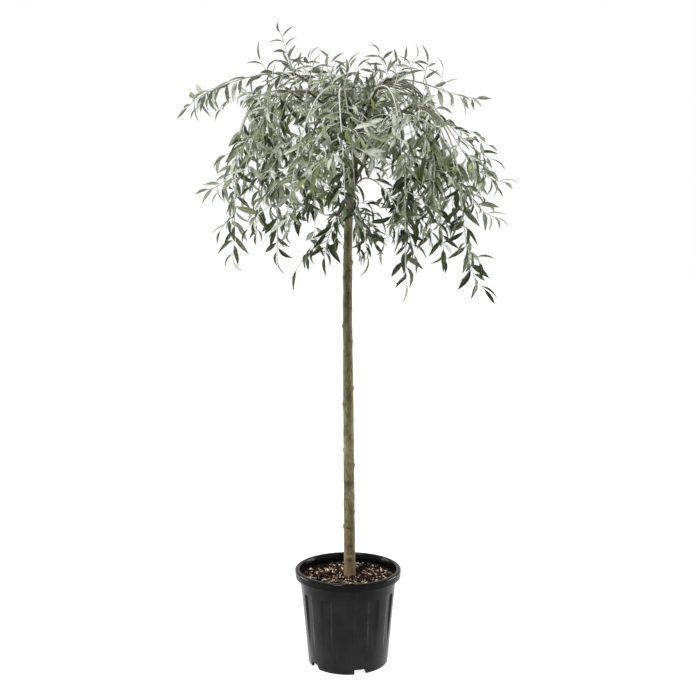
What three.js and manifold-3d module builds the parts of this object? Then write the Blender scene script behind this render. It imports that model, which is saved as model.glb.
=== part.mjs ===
// A young weeping silver-leaved pear, grafted on a straight stem and grown in a black nursery container.
// Millimetres, +Z up. The origin is on the floor under the middle of the pot, and -Y is the front.
import * as THREE from "three";
import { mergeVertices } from "three/addons/utils/BufferGeometryUtils.js";
import Module from "manifold-3d";

const wasm = await Module();
wasm.setup();

// Pot: a tapered, fluted container with a turned-down lip and a slotted foot ring
const POT_HEIGHT = 250;
const LIP_RADIUS = 140;
const LIP_HEIGHT = 21;
const LIP_WIDTH = 12;
const NECK_RADIUS = 127;
const FOOT_RADIUS = 105;
const WALL = 2.5;
const BASE_LIFT = 14;
const FLUTES = 12;
const FLUTE_TURN = -12.5;
const FLUTE_DEPTH = 2.6;
const FLUTE_TOP = 195;
const FLUTE_END = 62;
const FLUTE_SHOULDER = 1.2;
const INNER_STEP = 6;
const SLOTS = 5;
const SLOT_TURN = 16.8;
const SLOT_WIDTH = 26;
const SLOT_HEIGHT = 13;
const SLOT_DEPTH = 24;

// Compost: the root ball's top, a little under the lip
const COMPOST_TOP = 222;
const COMPOST_SIDES = 30;
const GAP = 0.3;

// Trunk: foot and tip heights, radii, and how far its middle line strays to the side on the way up
const TRUNK_FOOT = COMPOST_TOP + GAP;
const TRUNK_TIP = 1390;
const TRUNK_RADIUS_FOOT = 15;
const TRUNK_RADIUS_TIP = 8.8;
const TRUNK_TAPER = 1.6;
const ROOT_FLARE = 4.5;
const FLARE_HEIGHT = 14;
const TRUNK_WANDER = [
  { rise: 0, x: 5, y: 0 },
  { rise: 0.3, x: 2, y: 2 },
  { rise: 0.68, x: -1, y: -1 },
  { rise: 0.82, x: 3, y: 2 },
  { rise: 1, x: 28, y: 8 },
];
const TRUNK_SIDES = 10;
const TRUNK_STEPS = 20;
const SCARS = 9;
const SCAR_RADIUS = 5;
const SCAR_STAND = 2;
const GOLDEN_ANGLE = 137.5;

// Boughs: radii, and how steeply each one leaves the trunk before it arches over
const BOUGH_RADIUS_FOOT = 5.8;
const BOUGH_RADIUS_TIP = 4;
const BOUGH_STEEPNESS = 0.62;
const BOUGH_SIDES = 6;
const BOUGH_STEPS = 5;

// Each bough leaves the trunk at a height and bearing and arches to a reach and a top.
// Bearings are degrees from +X, turning towards +Y. Each of its shoots weeps from there to its own tip:
// two side by side, and on most boughs one under them. A flick turns the shoot's end outward as it hangs.
// Crests are upright twigs on a shoot's arch: the share of its length where they stand, their lean to +X
// and +Y, and their length.
const BOUGHS = [
  { name: "left_top", foot: 1338, bearing: 165, reach: 140, top: 1532, shoots: [
    { name: "left_high", bearing: 172, reach: 452, tip: 1418, flick: 0.1, crests: [
      { share: 0.08, x: -0.05, y: -0.35, length: 112 },
      { share: 0.24, x: -0.5, y: -0.2, length: 40 },
    ] },
    { name: "left_behind", bearing: 157, reach: 322, tip: 1325, crests: [
      { share: 0.1, x: 0.2, y: 0.35, length: 50 },
    ] },
    { name: "left_inner", bearing: 163, reach: 225, tip: 1190 },
  ] },
  { name: "left", foot: 1274, bearing: 190, reach: 150, top: 1478, shoots: [
    { name: "left_low", bearing: 179, reach: 402, tip: 1230, flick: 1, crests: [
      { share: 0.1, x: -0.2, y: 0.3, length: 40 },
    ] },
    { name: "left_mid", bearing: 205, reach: 300, tip: 1318, crests: [
      { share: 0.1, x: 0.1, y: -0.3, length: 44 },
    ] },
    { name: "left_hang", bearing: 191, reach: 298, tip: 1014 },
  ] },
  { name: "front_left", foot: 1314, bearing: 227, reach: 140, top: 1466, shoots: [
    { name: "front_left_out", bearing: 221, reach: 330, tip: 1215, crests: [
      { share: 0.1, x: -0.25, y: 0.2, length: 46 },
    ] },
    { name: "front_left_inner", bearing: 243, reach: 175, tip: 1120, crests: [
      { share: 0.1, x: 0.25, y: -0.2, length: 54 },
    ] },
    { name: "front_left", bearing: 232, reach: 275, tip: 1020 },
  ] },
  { name: "front", foot: 1366, bearing: 262, reach: 100, top: 1474, shoots: [
    { name: "front_long", bearing: 247, reach: 362, tip: 1085, crests: [
      { share: 0.1, x: -0.3, y: 0.1, length: 46 },
    ] },
    { name: "front_inner", bearing: 282, reach: 230, tip: 1100, crests: [
      { share: 0.1, x: 0.3, y: 0.1, length: 46 },
    ] },
    { name: "front_hang", bearing: 266, reach: 378, tip: 1140 },
  ] },
  { name: "front_right", foot: 1268, bearing: 309, reach: 115, top: 1478, shoots: [
    { name: "front_right_out", bearing: 293, reach: 322, tip: 1222, crests: [
      { share: 0.1, x: -0.25, y: -0.2, length: 46 },
    ] },
    { name: "right_front", bearing: 321, reach: 300, tip: 1016, crests: [
      { share: 0.1, x: 0.25, y: 0.2, length: 50 },
    ] },
    { name: "front_right", bearing: 298, reach: 290, tip: 964 },
  ] },
  { name: "right", foot: 1238, bearing: 346, reach: 160, top: 1440, shoots: [
    { name: "right_mid", bearing: 355, reach: 440, tip: 1248, flick: 1, crests: [
      { share: 0.1, x: 0.1, y: 0.3, length: 44 },
    ] },
    { name: "right_inner", bearing: 318, reach: 190, tip: 1130, crests: [
      { share: 0.1, x: -0.1, y: -0.3, length: 44 },
    ] },
    { name: "right_hang", bearing: 349, reach: 390, tip: 963, flick: 0.9 },
  ] },
  { name: "right_top", foot: 1350, bearing: 22, reach: 108, top: 1520, shoots: [
    { name: "right_high", bearing: 19, reach: 404, tip: 1478, flick: 0.7, crests: [
      { share: 0.06, x: -0.25, y: 0.3, length: 60 },
      { share: 0.18, x: 0.3, y: 0.2, length: 62 },
      { share: 0.4, x: 0.1, y: 0.1, length: 44 },
    ] },
    { name: "right_low", bearing: 3, reach: 438, tip: 1156, flick: 1, crests: [
      { share: 0.08, x: 0.1, y: -0.3, length: 44 },
    ] },
    { name: "right_top_inner", bearing: 12, reach: 225, tip: 1060 },
  ] },
  { name: "back_right", foot: 1256, bearing: 52, reach: 150, top: 1524, shoots: [
    { name: "right_behind", bearing: 15, reach: 440, tip: 1308, flick: 0.7, crests: [
      { share: 0.08, x: 0.15, y: -0.2, length: 50 },
    ] },
    { name: "back_right", bearing: 58, reach: 395, tip: 1155, crests: [
      { share: 0.1, x: -0.15, y: 0.25, length: 50 },
    ] },
    { name: "right_back_hang", bearing: 22, reach: 314, tip: 1105 },
  ] },
  { name: "back", foot: 1300, bearing: 97, reach: 135, top: 1538, shoots: [
    { name: "back_high", bearing: 84, reach: 405, tip: 1335, crests: [
      { share: 0.08, x: 0.3, y: 0.1, length: 40 },
    ] },
    { name: "back_hang", bearing: 106, reach: 360, tip: 1065, crests: [
      { share: 0.08, x: -0.3, y: 0.1, length: 50 },
    ] },
  ] },
  { name: "back_left", foot: 1226, bearing: 136, reach: 150, top: 1538, shoots: [
    { name: "back_left", bearing: 123, reach: 405, tip: 1250, crests: [
      { share: 0.08, x: 0.3, y: 0.25, length: 50 },
      { share: 0.22, x: 0.3, y: 0.2, length: 50 },
    ] },
    { name: "back_left_hang", bearing: 141, reach: 330, tip: 1080, crests: [
      { share: 0.08, x: -0.3, y: -0.25, length: 46 },
    ] },
  ] },
];

// Shoots that spring from the trunk itself: some inside the crown, and the leaders on its top
const TRUNK_SHOOTS = [
  { name: "inner_left", foot: 1150, bearing: 237, reach: 118, tip: 1024 },
  { name: "inner_right", foot: 1168, bearing: 293, reach: 132, tip: 1026 },
  { name: "inner_back", foot: 1186, bearing: 80, reach: 140, tip: 1068 },
  { name: "under_left", foot: 1212, bearing: 213, reach: 195, tip: 1084 },
  { name: "under_right", foot: 1240, bearing: 322, reach: 215, tip: 1030 },
  { name: "leader_left", foot: 1380, bearing: 188, reach: 110, tip: 1500, crests: [
    { share: 0.7, x: -0.2, y: -0.4, length: 44 },
  ] },
  { name: "leader_front", foot: 1380, bearing: 285, reach: 120, tip: 1490, crests: [
    { share: 0.7, x: 0.3, y: 0.2, length: 44 },
  ] },
  { name: "leader_right", foot: 1380, bearing: 345, reach: 135, tip: 1500, crests: [
    { share: 0.7, x: 0.1, y: -0.4, length: 44 },
  ] },
  { name: "leader_back", foot: 1380, bearing: 73, reach: 140, tip: 1500, crests: [
    { share: 0.7, x: 0.3, y: 0.2, length: 44 },
  ] },
];

// Shoots: radii of a shoot and of its side twigs, how far from the middle of its bough's tip a shoot
// is seated and at what turn round it, how far it springs outward and hangs, as shares of its span and
// drop, how it rises and turns as it sets out, and the share of its length that is bare of leaves
const SHOOT_RADIUS_FOOT = 1.6;
const SHOOT_RADIUS_TIP = 1.0;
const TWIG_RADIUS_FOOT = 1.15;
const TWIG_RADIUS_TIP = 0.8;
const SEAT = 2.0;
const SEAT_TURN = 60;
const SHOOT_SIDES = 3;
const SHOOT_STEPS = 8;
const HANG = 0.46;
const SPRING = 0.34;
const SHOOT_RISE = 0.25;
const SHOOT_TURN = 0.6;
const TRUNK_SHOOT_RISE = 1.6;
const SHOOT_BARE = 0.16;

// Side twigs: how many, how long, how fast they droop, and the bare share of their length.
// A crest that would not fit is tried a little further along its shoot.
const TWIGS = 2;
const TWIG_TRIES = 6;
const TWIG_LENGTH = 112;
const TWIG_STEPS = 3;
const TWIG_DROOP = 0.34;
const TWIG_SPREAD = 0.95;
const TWIG_BARE = 0.3;
const CREST_TRIES = 5;
const CREST_SLIDE = 0.04;
const CREST_DROOP = 0.05;
const SEED = 40;

// Leaves: willow-like blades, drawn larger than life because the solids have fewer of them
const LEAF_LENGTH = 100;
const LEAF_WIDTH = 0.3;
const LEAF_WIDEST = 0.42;
const LEAF_THICKNESS = 1.1;
const LEAF_FOLD = 0.03;
const LEAF_CURL = 0.09;
const LEAF_SPACING = 60;
const LEAF_SINK = 1.1;
const LEAF_FORWARD = 0.7;
const LEAF_OUT = 0.9;
const LEAF_DROOP = 0.7;
const LEAF_ROLL = 0.9;
const LAST_LEAF = 0.65;
const CREST_LEAF = 0.55;

// Space: the crown's widest reach and its foot, and how clear a mass stays of its neighbours and
// of the limbs. A leaf that would not fit is tried shorter before it is left out.
const CROWN_REACH = 455;
const CROWN_FOOT = 956;
const SPACE_MARGIN = 5;
const LIMB_CLEAR = 3;
const SHORTER = [1, 0.75, 0.55];

const UP = new THREE.Vector3(0, 0, 1);
const radians = THREE.MathUtils.degToRad;
const lerp = THREE.MathUtils.lerp;

const BLACK_PLASTIC = { color: 0x2b2b2d, roughness: 0.5, metalness: 0 };
const COMPOST_BROWN = { color: 0x4a382a, roughness: 1, metalness: 0 };
const OLIVE_BARK = { color: 0x6b6048, roughness: 0.85, metalness: 0 };
const YOUNG_BARK = { color: 0x4a4234, roughness: 0.8, metalness: 0 };
const SILVER_LEAF = { color: 0x8f9a84, roughness: 0.7, metalness: 0 };

// A seeded stream of even numbers from 0 to 1
function stream(seed) {
  let state = seed >>> 0;
  return () => {
    state = (Math.imul(state, 1664525) + 1013904223) >>> 0;
    return state / 4294967296;
  };
}

// A point at a bearing in degrees, a reach from the trunk's foot and a height
function polar(bearing, reach, height) {
  return new THREE.Vector3(
    reach * Math.cos(radians(bearing)),
    reach * Math.sin(radians(bearing)),
    height,
  );
}

// A closed three.js geometry as a solid that can be joined and cut
function solid(geometry) {
  const bare = new THREE.BufferGeometry();
  bare.setAttribute("position", geometry.attributes.position);
  bare.setIndex(geometry.index);
  const merged = mergeVertices(bare, 1e-4);
  return new wasm.Manifold(
    new wasm.Mesh({
      numProp: 3,
      vertProperties: merged.attributes.position.array,
      triVerts: new Uint32Array(merged.index.array),
    }),
  );
}

// The largest outer shell of a joined solid: loose scraps and sealed hollows are dropped
function mainBody(joined) {
  const bodies = joined.decompose();
  return bodies.reduce((best, body) => (body.volume() > best.volume() ? body : best));
}

// A named mesh of a joined solid
function piece(name, made, finish) {
  const mesh = made.getMesh();
  const geometry = new THREE.BufferGeometry();
  geometry.setAttribute("position", new THREE.BufferAttribute(mesh.vertProperties, 3));
  geometry.setIndex(new THREE.BufferAttribute(mesh.triVerts, 1));
  geometry.computeVertexNormals();
  const node = new THREE.Mesh(geometry, new THREE.MeshStandardMaterial(finish));
  node.name = name;
  return node;
}

// A round limb that follows a curve and tapers by a radius rule, closed at both ends
function limb(curve, radiusAt, sides, steps) {
  const tube = new THREE.CylinderGeometry(1, 1, 1, sides, steps);
  const frames = curve.computeFrenetFrames(steps, false);
  const places = tube.attributes.position;
  const local = new THREE.Vector3();
  for (let i = 0; i < places.count; i++) {
    local.fromBufferAttribute(places, i);
    const step = Math.round((local.y + 0.5) * steps);
    const radius = radiusAt(step / steps);
    const place = curve
      .getPointAt(step / steps)
      .addScaledVector(frames.normals[step], local.x * radius)
      .addScaledVector(frames.binormals[step], -local.z * radius);
    places.setXYZ(i, place.x, place.y, place.z);
  }
  return tube;
}

// Pot: the lathe's rings are pulled in between the ribs, so that each flute dies out towards the foot
function wallRadius(height) {
  return lerp(FOOT_RADIUS, NECK_RADIUS, height / (POT_HEIGHT - LIP_HEIGHT));
}

function fluteDepth(height) {
  const above = (height - FLUTE_END) / (FLUTE_TOP - FLUTE_END);
  return height > FLUTE_TOP ? 0 : FLUTE_DEPTH * THREE.MathUtils.clamp(above, 0, 1);
}

// The inside of the wall, which stands clear of the flutes below their tops
function innerRadius(height) {
  return wallRadius(height) - WALL - (height > FLUTE_TOP ? 0 : FLUTE_DEPTH);
}

function makePot() {
  const lipInner = LIP_RADIUS - LIP_WIDTH;
  const lipUnder = POT_HEIGHT - LIP_HEIGHT;
  const floor = BASE_LIFT + WALL;
  const profile = [
    [FOOT_RADIUS - WALL, 0],
    [FOOT_RADIUS, 0],
    [wallRadius(FLUTE_END), FLUTE_END],
    [wallRadius(FLUTE_TOP), FLUTE_TOP],
    [wallRadius(FLUTE_TOP) + 0.1, FLUTE_TOP + FLUTE_SHOULDER],
    [NECK_RADIUS, lipUnder],
    [LIP_RADIUS - 2, lipUnder],
    [LIP_RADIUS, lipUnder + 3],
    [LIP_RADIUS, POT_HEIGHT - 4],
    [LIP_RADIUS - 4, POT_HEIGHT],
    [lipInner, POT_HEIGHT],
    [innerRadius(lipUnder), lipUnder],
    [innerRadius(FLUTE_TOP + INNER_STEP), FLUTE_TOP + INNER_STEP],
    [innerRadius(FLUTE_TOP), FLUTE_TOP],
    [innerRadius(floor), floor],
    [0, floor],
    [0, BASE_LIFT],
    [innerRadius(BASE_LIFT), BASE_LIFT],
  ].map(([radius, height]) => new THREE.Vector2(radius, height));
  profile.push(profile[0].clone());
  const ringsPerFlute = 4;
  const shell = new THREE.LatheGeometry(profile, FLUTES * ringsPerFlute);
  shell.rotateX(Math.PI / 2);
  const places = shell.attributes.position;
  const local = new THREE.Vector3();
  const turn = (2 * Math.PI) / FLUTES;
  const ribShare = [-0.225, 0.225, 0.275, 0.725];
  for (let i = 0; i < places.count; i++) {
    local.fromBufferAttribute(places, i);
    const radius = Math.hypot(local.x, local.y);
    const spoke = Math.round((Math.atan2(local.y, local.x) / turn) * ringsPerFlute);
    const along = THREE.MathUtils.euclideanModulo(spoke, ringsPerFlute);
    const flute = (spoke - along) / ringsPerFlute;
    const angle = (flute + ribShare[along]) * turn + radians(FLUTE_TURN - 90);
    const outside = Math.abs(radius - wallRadius(local.z)) < WALL / 2;
    const inset = along > 1 && outside ? fluteDepth(local.z) : 0;
    const moved = radius - inset;
    places.setXYZ(i, moved * Math.cos(angle), moved * Math.sin(angle), local.z);
  }
  let pot = solid(shell);
  for (let i = 0; i < SLOTS; i++) {
    const cutter = new THREE.BoxGeometry(SLOT_WIDTH, SLOT_DEPTH, 2 * SLOT_HEIGHT);
    cutter.translate(0, -FOOT_RADIUS, 0);
    cutter.rotateZ(radians(SLOT_TURN) + (i * 2 * Math.PI) / SLOTS);
    pot = pot.subtract(solid(cutter));
  }
  return pot;
}

// Compost: fills the pot from its base to the root ball's top, clear of the wall
function makeCompost() {
  const floor = BASE_LIFT + WALL;
  const clear = 3 * GAP;
  const step = FLUTE_TOP + INNER_STEP;
  const profile = [
    [0, floor + GAP],
    [innerRadius(floor) - clear, floor + GAP],
    [innerRadius(FLUTE_TOP) - clear, FLUTE_TOP],
    [innerRadius(step) - clear, step],
    [innerRadius(COMPOST_TOP) - clear, COMPOST_TOP],
    [0, COMPOST_TOP],
  ].map(([radius, height]) => new THREE.Vector2(radius, height));
  const ball = new THREE.LatheGeometry(profile, COMPOST_SIDES);
  ball.rotateX(Math.PI / 2);
  return solid(ball);
}

// Trunk
const trunkCurve = new THREE.CatmullRomCurve3(
  TRUNK_WANDER.map(({ rise, x, y }) => new THREE.Vector3(x, y, lerp(TRUNK_FOOT, TRUNK_TIP, rise))),
);

function trunkRadius(share) {
  const flare = ROOT_FLARE * Math.exp((-share * (TRUNK_TIP - TRUNK_FOOT)) / FLARE_HEIGHT);
  return lerp(TRUNK_RADIUS_FOOT, TRUNK_RADIUS_TIP, share ** TRUNK_TAPER) + flare;
}

// The trunk's middle at a height
function trunkPoint(height) {
  return trunkCurve.getPointAt((height - TRUNK_FOOT) / (TRUNK_TIP - TRUNK_FOOT));
}

function trunkTube(extra, raised) {
  const tube = limb(trunkCurve, (share) => trunkRadius(share) + extra, TRUNK_SIDES, TRUNK_STEPS);
  return solid(tube.translate(0, 0, raised));
}

// The foot is cut level on the compost
function levelFoot(made) {
  const cutter = new THREE.BoxGeometry(120, 120, 40);
  cutter.translate(0, 0, TRUNK_FOOT - 20);
  return made.subtract(solid(cutter));
}

function makeTrunk() {
  let trunk = trunkTube(0, 0);
  for (let i = 0; i < SCARS; i++) {
    const share = lerp(0.06, 0.74, i / (SCARS - 1));
    const knob = new THREE.OctahedronGeometry(SCAR_RADIUS);
    const stand = trunkRadius(share) + SCAR_STAND - SCAR_RADIUS;
    const out = polar(i * GOLDEN_ANGLE - 90, stand, 0);
    knob.rotateZ(radians(i * GOLDEN_ANGLE));
    const place = trunkCurve.getPointAt(share).add(out);
    knob.translate(place.x, place.y, place.z);
    trunk = trunk.add(solid(knob));
  }
  return levelFoot(trunk);
}

// Boughs
function boughCurve(bough, longer) {
  const foot = trunkPoint(bough.foot);
  const tip = polar(bough.bearing, bough.reach + longer, bough.top);
  const rise = foot.clone().lerp(tip, 0.5);
  rise.z = lerp(foot.z, tip.z, 0.5 + BOUGH_STEEPNESS / 2);
  return new THREE.QuadraticBezierCurve3(foot, rise, tip);
}

function boughRadius(share) {
  return lerp(BOUGH_RADIUS_FOOT, BOUGH_RADIUS_TIP, share);
}

function boughTube(curve, extra) {
  return solid(limb(curve, (share) => boughRadius(share) + extra, BOUGH_SIDES, BOUGH_STEPS));
}

// Shoots: each springs from a bough's tip, or the trunk's side, and hangs over to its own tip
function shootCurve(start, heading, tip, flick = 0) {
  const drop = Math.max(0, start.z - tip.z);
  const span = start.distanceTo(tip);
  const back = new THREE.Vector3(start.x - tip.x, start.y - tip.y, 0);
  back.multiplyScalar(lerp(0.12, 0.45, flick)).addScaledVector(UP, lerp(HANG, 0.08, flick) * drop);
  const end = tip.clone().addScaledVector(back.clone().normalize(), LAST_LEAF * LEAF_LENGTH);
  return new THREE.CubicBezierCurve3(
    start,
    start.clone().addScaledVector(heading, SPRING * span),
    end.clone().add(back),
    end,
  );
}

function boughShoots(bough, limbCurve) {
  const heading = limbCurve.getTangentAt(1);
  const across = new THREE.Vector3().crossVectors(UP, heading).normalize();
  const over = new THREE.Vector3().crossVectors(heading, across);
  const [first, second] = bough.shoots;
  const handed = Math.sign(Math.sin(radians(first.bearing - second.bearing)));
  const seats = [handed * SEAT_TURN, -handed * SEAT_TURN, 180];
  return bough.shoots.map((shoot, i) => {
    const tip = polar(shoot.bearing, shoot.reach, shoot.tip);
    const start = limbCurve
      .getPointAt(1)
      .addScaledVector(heading, -SHOOT_RADIUS_FOOT)
      .addScaledVector(across, SEAT * Math.sin(radians(seats[i])))
      .addScaledVector(over, SEAT * Math.cos(radians(seats[i])));
    const outward = tip.clone().sub(start).setZ(0).normalize();
    const away = heading.clone().setZ(i < 2 ? SHOOT_RISE : 0).lerp(outward, SHOOT_TURN).normalize();
    const curve = shootCurve(start, away, tip, shoot.flick);
    return { name: shoot.name, curve, crests: shoot.crests ?? [] };
  });
}

function trunkShoot(shoot) {
  const middle = trunkPoint(shoot.foot);
  const share = (shoot.foot - TRUNK_FOOT) / (TRUNK_TIP - TRUNK_FOOT);
  const outward = polar(shoot.bearing, 1, 0);
  const start = middle.addScaledVector(outward, trunkRadius(share) - SHOOT_RADIUS_FOOT);
  const tip = polar(shoot.bearing, shoot.reach, shoot.tip);
  const rising = outward.clone().setZ(TRUNK_SHOOT_RISE).normalize();
  return { name: shoot.name, curve: shootCurve(start, rising, tip), crests: shoot.crests ?? [] };
}

// Side twigs of one shoot: alternate, spreading, drooping as they grow
function twigCurve(start, heading, length, droop) {
  const points = [start.clone()];
  const way = heading.clone().normalize();
  for (let i = 0; i < TWIG_STEPS; i++) {
    points.push(points[i].clone().addScaledVector(way, length / TWIG_STEPS));
    way.addScaledVector(UP, -droop).normalize();
  }
  return new THREE.CatmullRomCurve3(points);
}

function sideTwig(shoot, i, random) {
  const share = lerp(0.24, 0.9, (i + 0.2 + 0.6 * random()) / TWIG_TRIES);
  const along = shoot.curve.getTangentAt(share);
  const side = new THREE.Vector3().crossVectors(along, UP).normalize();
  const turn = (i % 2 ? 1 : -1) * TWIG_SPREAD * (0.75 + 0.5 * random());
  const lift = 0.15 + 0.5 * random();
  const heading = along.clone().addScaledVector(side, turn).addScaledVector(UP, lift);
  const length = TWIG_LENGTH * (1.15 - 0.5 * share) * (0.75 + 0.5 * random());
  const curve = twigCurve(shoot.curve.getPointAt(share), heading, length, TWIG_DROOP);
  return { curve, leafScale: 1 };
}

function crestTwig(shoot, crest, slide) {
  const foot = shoot.curve.getPointAt(crest.share + slide);
  const heading = new THREE.Vector3(crest.x, crest.y, 1);
  return { curve: twigCurve(foot, heading, crest.length, CREST_DROOP), leafScale: CREST_LEAF };
}

// The first twigs of a row of tries that keep to the shoot's own space
function firstClear(shoot, tries, wanted, grow) {
  const grown = Array.from({ length: tries }, (_, i) => grow(i));
  const clear = (twig) => twig.curve.getSpacedPoints(6).slice(1).every((place) => inOwnSpace(place, shoot));
  return grown.filter(clear).slice(0, wanted);
}

function twigsOf(shoot, random) {
  const side = firstClear(shoot, TWIG_TRIES, TWIGS, (i) => sideTwig(shoot, i, random));
  const crests = shoot.crests.flatMap((crest) =>
    firstClear(shoot, CREST_TRIES, 1, (i) => crestTwig(shoot, crest, i * CREST_SLIDE)),
  );
  return [...side, ...crests];
}

// One blade: an eight-sided lens with a folded face and a tip that curls down.
// Its root is at the origin and its length along +X.
function bladeGeometry(length) {
  const blade = new THREE.OctahedronGeometry(1);
  const places = blade.attributes.position;
  const local = new THREE.Vector3();
  for (let i = 0; i < places.count; i++) {
    local.fromBufferAttribute(places, i).round();
    const along = lerp(LEAF_WIDEST, local.x > 0 ? 1 : 0, Math.abs(local.x));
    const across = local.y * 0.5 * LEAF_WIDTH;
    const raised = Math.abs(local.y) * LEAF_FOLD - (local.x > 0 ? LEAF_CURL : 0);
    places.setXYZ(i, along * length, across * length, raised * length + (local.z * LEAF_THICKNESS) / 2);
  }
  return blade;
}

function leafFrame(root, heading, roll) {
  const along = heading.clone().normalize();
  const across = new THREE.Vector3().crossVectors(UP, along).normalize();
  across.applyAxisAngle(along, roll);
  const face = new THREE.Vector3().crossVectors(along, across);
  return new THREE.Matrix4()
    .makeBasis(along, across, face)
    .setPosition(root.clone().addScaledVector(along, -LEAF_SINK));
}

// Leaves of one stem or twig: spiralling along it, leaning forward and outward and drooping
function leavesOn(curve, first, scale, random) {
  const length = curve.getLength();
  const count = Math.max(1, Math.round((length * (1 - first)) / (LEAF_SPACING * scale)));
  const turnAtFoot = 360 * random();
  const leaves = [];
  for (let i = 0; i <= count; i++) {
    const share = lerp(first, 0.985, i / count);
    const along = curve.getTangentAt(share);
    const side = new THREE.Vector3().crossVectors(along, UP).normalize();
    const out = side.applyAxisAngle(along, radians(turnAtFoot + i * GOLDEN_ANGLE));
    const last = i === count;
    const droop = scale < 1 || last ? 0 : LEAF_DROOP * (1.15 - Math.abs(along.z));
    const heading = along.multiplyScalar(LEAF_FORWARD).addScaledVector(out, last ? 0.15 : LEAF_OUT);
    heading.addScaledVector(UP, -droop);
    const size = LEAF_LENGTH * scale * (0.82 + 0.3 * random()) * (last ? LAST_LEAF : 1);
    const roll = LEAF_ROLL * (random() - 0.5);
    leaves.push({ size, place: leafFrame(curve.getPointAt(share), heading, roll) });
  }
  return leaves;
}

// Every shoot, and points along every shoot and limb, from which each mass reads its own space
const curves = BOUGHS.map((bough) => boughCurve(bough, 0));
const shoots = [
  ...BOUGHS.flatMap((bough, i) => boughShoots(bough, curves[i])),
  ...TRUNK_SHOOTS.map(trunkShoot),
];
shoots.forEach((shoot) => {
  shoot.points = shoot.curve.getSpacedPoints(40);
});
const limbPoints = [];
trunkCurve.getSpacedPoints(90).forEach((place, i, all) => {
  limbPoints.push({ place, radius: trunkRadius(i / (all.length - 1)) });
});
curves.forEach((curve) => {
  curve.getSpacedPoints(30).forEach((place, i, all) => {
    limbPoints.push({ place, radius: boughRadius(i / (all.length - 1)) });
  });
});

function nearest(points, place) {
  return Math.sqrt(points.reduce((best, point) => Math.min(best, point.distanceToSquared(place)), Infinity));
}

// A mass's own space is what lies inside the crown, nearer to its shoot than to any other,
// clear of every limb
function inOwnSpace(place, shoot) {
  if (Math.hypot(place.x, place.y) > CROWN_REACH || place.z < CROWN_FOOT) {
    return false;
  }
  const own = nearest(shoot.points, place) + SPACE_MARGIN;
  const clear = limbPoints.every((limb) => limb.place.distanceTo(place) > limb.radius + LIMB_CLEAR);
  return clear && shoots.every((other) => other === shoot || nearest(other.points, place) > own);
}

// Points over a blade: its corners, and places between them
function bladePoints(blade) {
  const places = blade.attributes.position;
  const corners = [];
  for (let i = 0; i < places.count; i++) {
    corners.push(new THREE.Vector3().fromBufferAttribute(places, i));
  }
  const next = (i) => corners[(i + 1) % corners.length];
  return corners.flatMap((corner, i) => [corner, corner.clone().lerp(next(i), 0.5)]);
}

// The largest blade of a leaf that keeps to its mass's own space, if any does
function fittedBlade(leaf, shoot) {
  const blades = SHORTER.map((share) => bladeGeometry(leaf.size * share).applyMatrix4(leaf.place));
  return blades.find((blade) => bladePoints(blade).every((place) => inOwnSpace(place, shoot)));
}

// Foliage: one shoot with its side twigs and leaves, fused into one mass
function makeFoliage(shoot, index) {
  const random = stream(SEED + index);
  random();
  const shootRadius = (share) => lerp(SHOOT_RADIUS_FOOT, SHOOT_RADIUS_TIP, share);
  const twigRadius = (share) => lerp(TWIG_RADIUS_FOOT, TWIG_RADIUS_TIP, share);
  const twigs = twigsOf(shoot, random);
  const leaves = leavesOn(shoot.curve, SHOOT_BARE, 1, random);
  twigs.forEach((twig) => leaves.push(...leavesOn(twig.curve, TWIG_BARE, twig.leafScale, random)));
  const kept = leaves.map((leaf) => fittedBlade(leaf, shoot)).filter((blade) => blade);
  const pieces = [
    limb(shoot.curve, shootRadius, SHOOT_SIDES, SHOOT_STEPS),
    ...twigs.map((twig) => limb(twig.curve, twigRadius, SHOOT_SIDES, TWIG_STEPS)),
    ...kept,
  ];
  return mainBody(wasm.Manifold.union(pieces.map(solid)).subtract(limbRoom));
}

// The tree in its pot
const planter = new THREE.Group();
planter.add(piece("pot", makePot(), BLACK_PLASTIC));
planter.add(piece("compost", makeCompost(), COMPOST_BROWN));

const tree = new THREE.Group();
const trunkRoom = trunkTube(GAP, 0).add(trunkTube(GAP, GAP));
const boughRooms = BOUGHS.map((bough) => boughTube(boughCurve(bough, GAP), GAP));
const limbRoom = wasm.Manifold.union([trunkRoom, ...boughRooms]);
tree.add(piece("trunk", makeTrunk(), OLIVE_BARK));
BOUGHS.forEach((bough, i) => {
  const grown = boughTube(curves[i], 0).subtract(trunkRoom);
  tree.add(piece("bough_" + bough.name, mainBody(grown), YOUNG_BARK));
});
shoots.forEach((shoot, i) => {
  tree.add(piece("foliage_" + shoot.name, makeFoliage(shoot, i), SILVER_LEAF));
});

const pottedTree = new THREE.Group();
pottedTree.add(planter, tree);
export default pottedTree;
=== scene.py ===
"""The looks of a young weeping silver pear, grown on a straight stem in a black container.

Sizes are in millimetres and the meshes in metres. +Z is up, -Y is the front, and the origin is on the
floor under the middle of the pot. The crown grows by the same rule as the solids, carried to finer twigs.
"""

import logging
import math
from collections.abc import Callable, Iterator, Sequence
from dataclasses import dataclass, field
from enum import Enum

import bmesh
import bpy
import numpy as np
from mathutils import Euler, Matrix, Quaternion, Vector, noise


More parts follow.
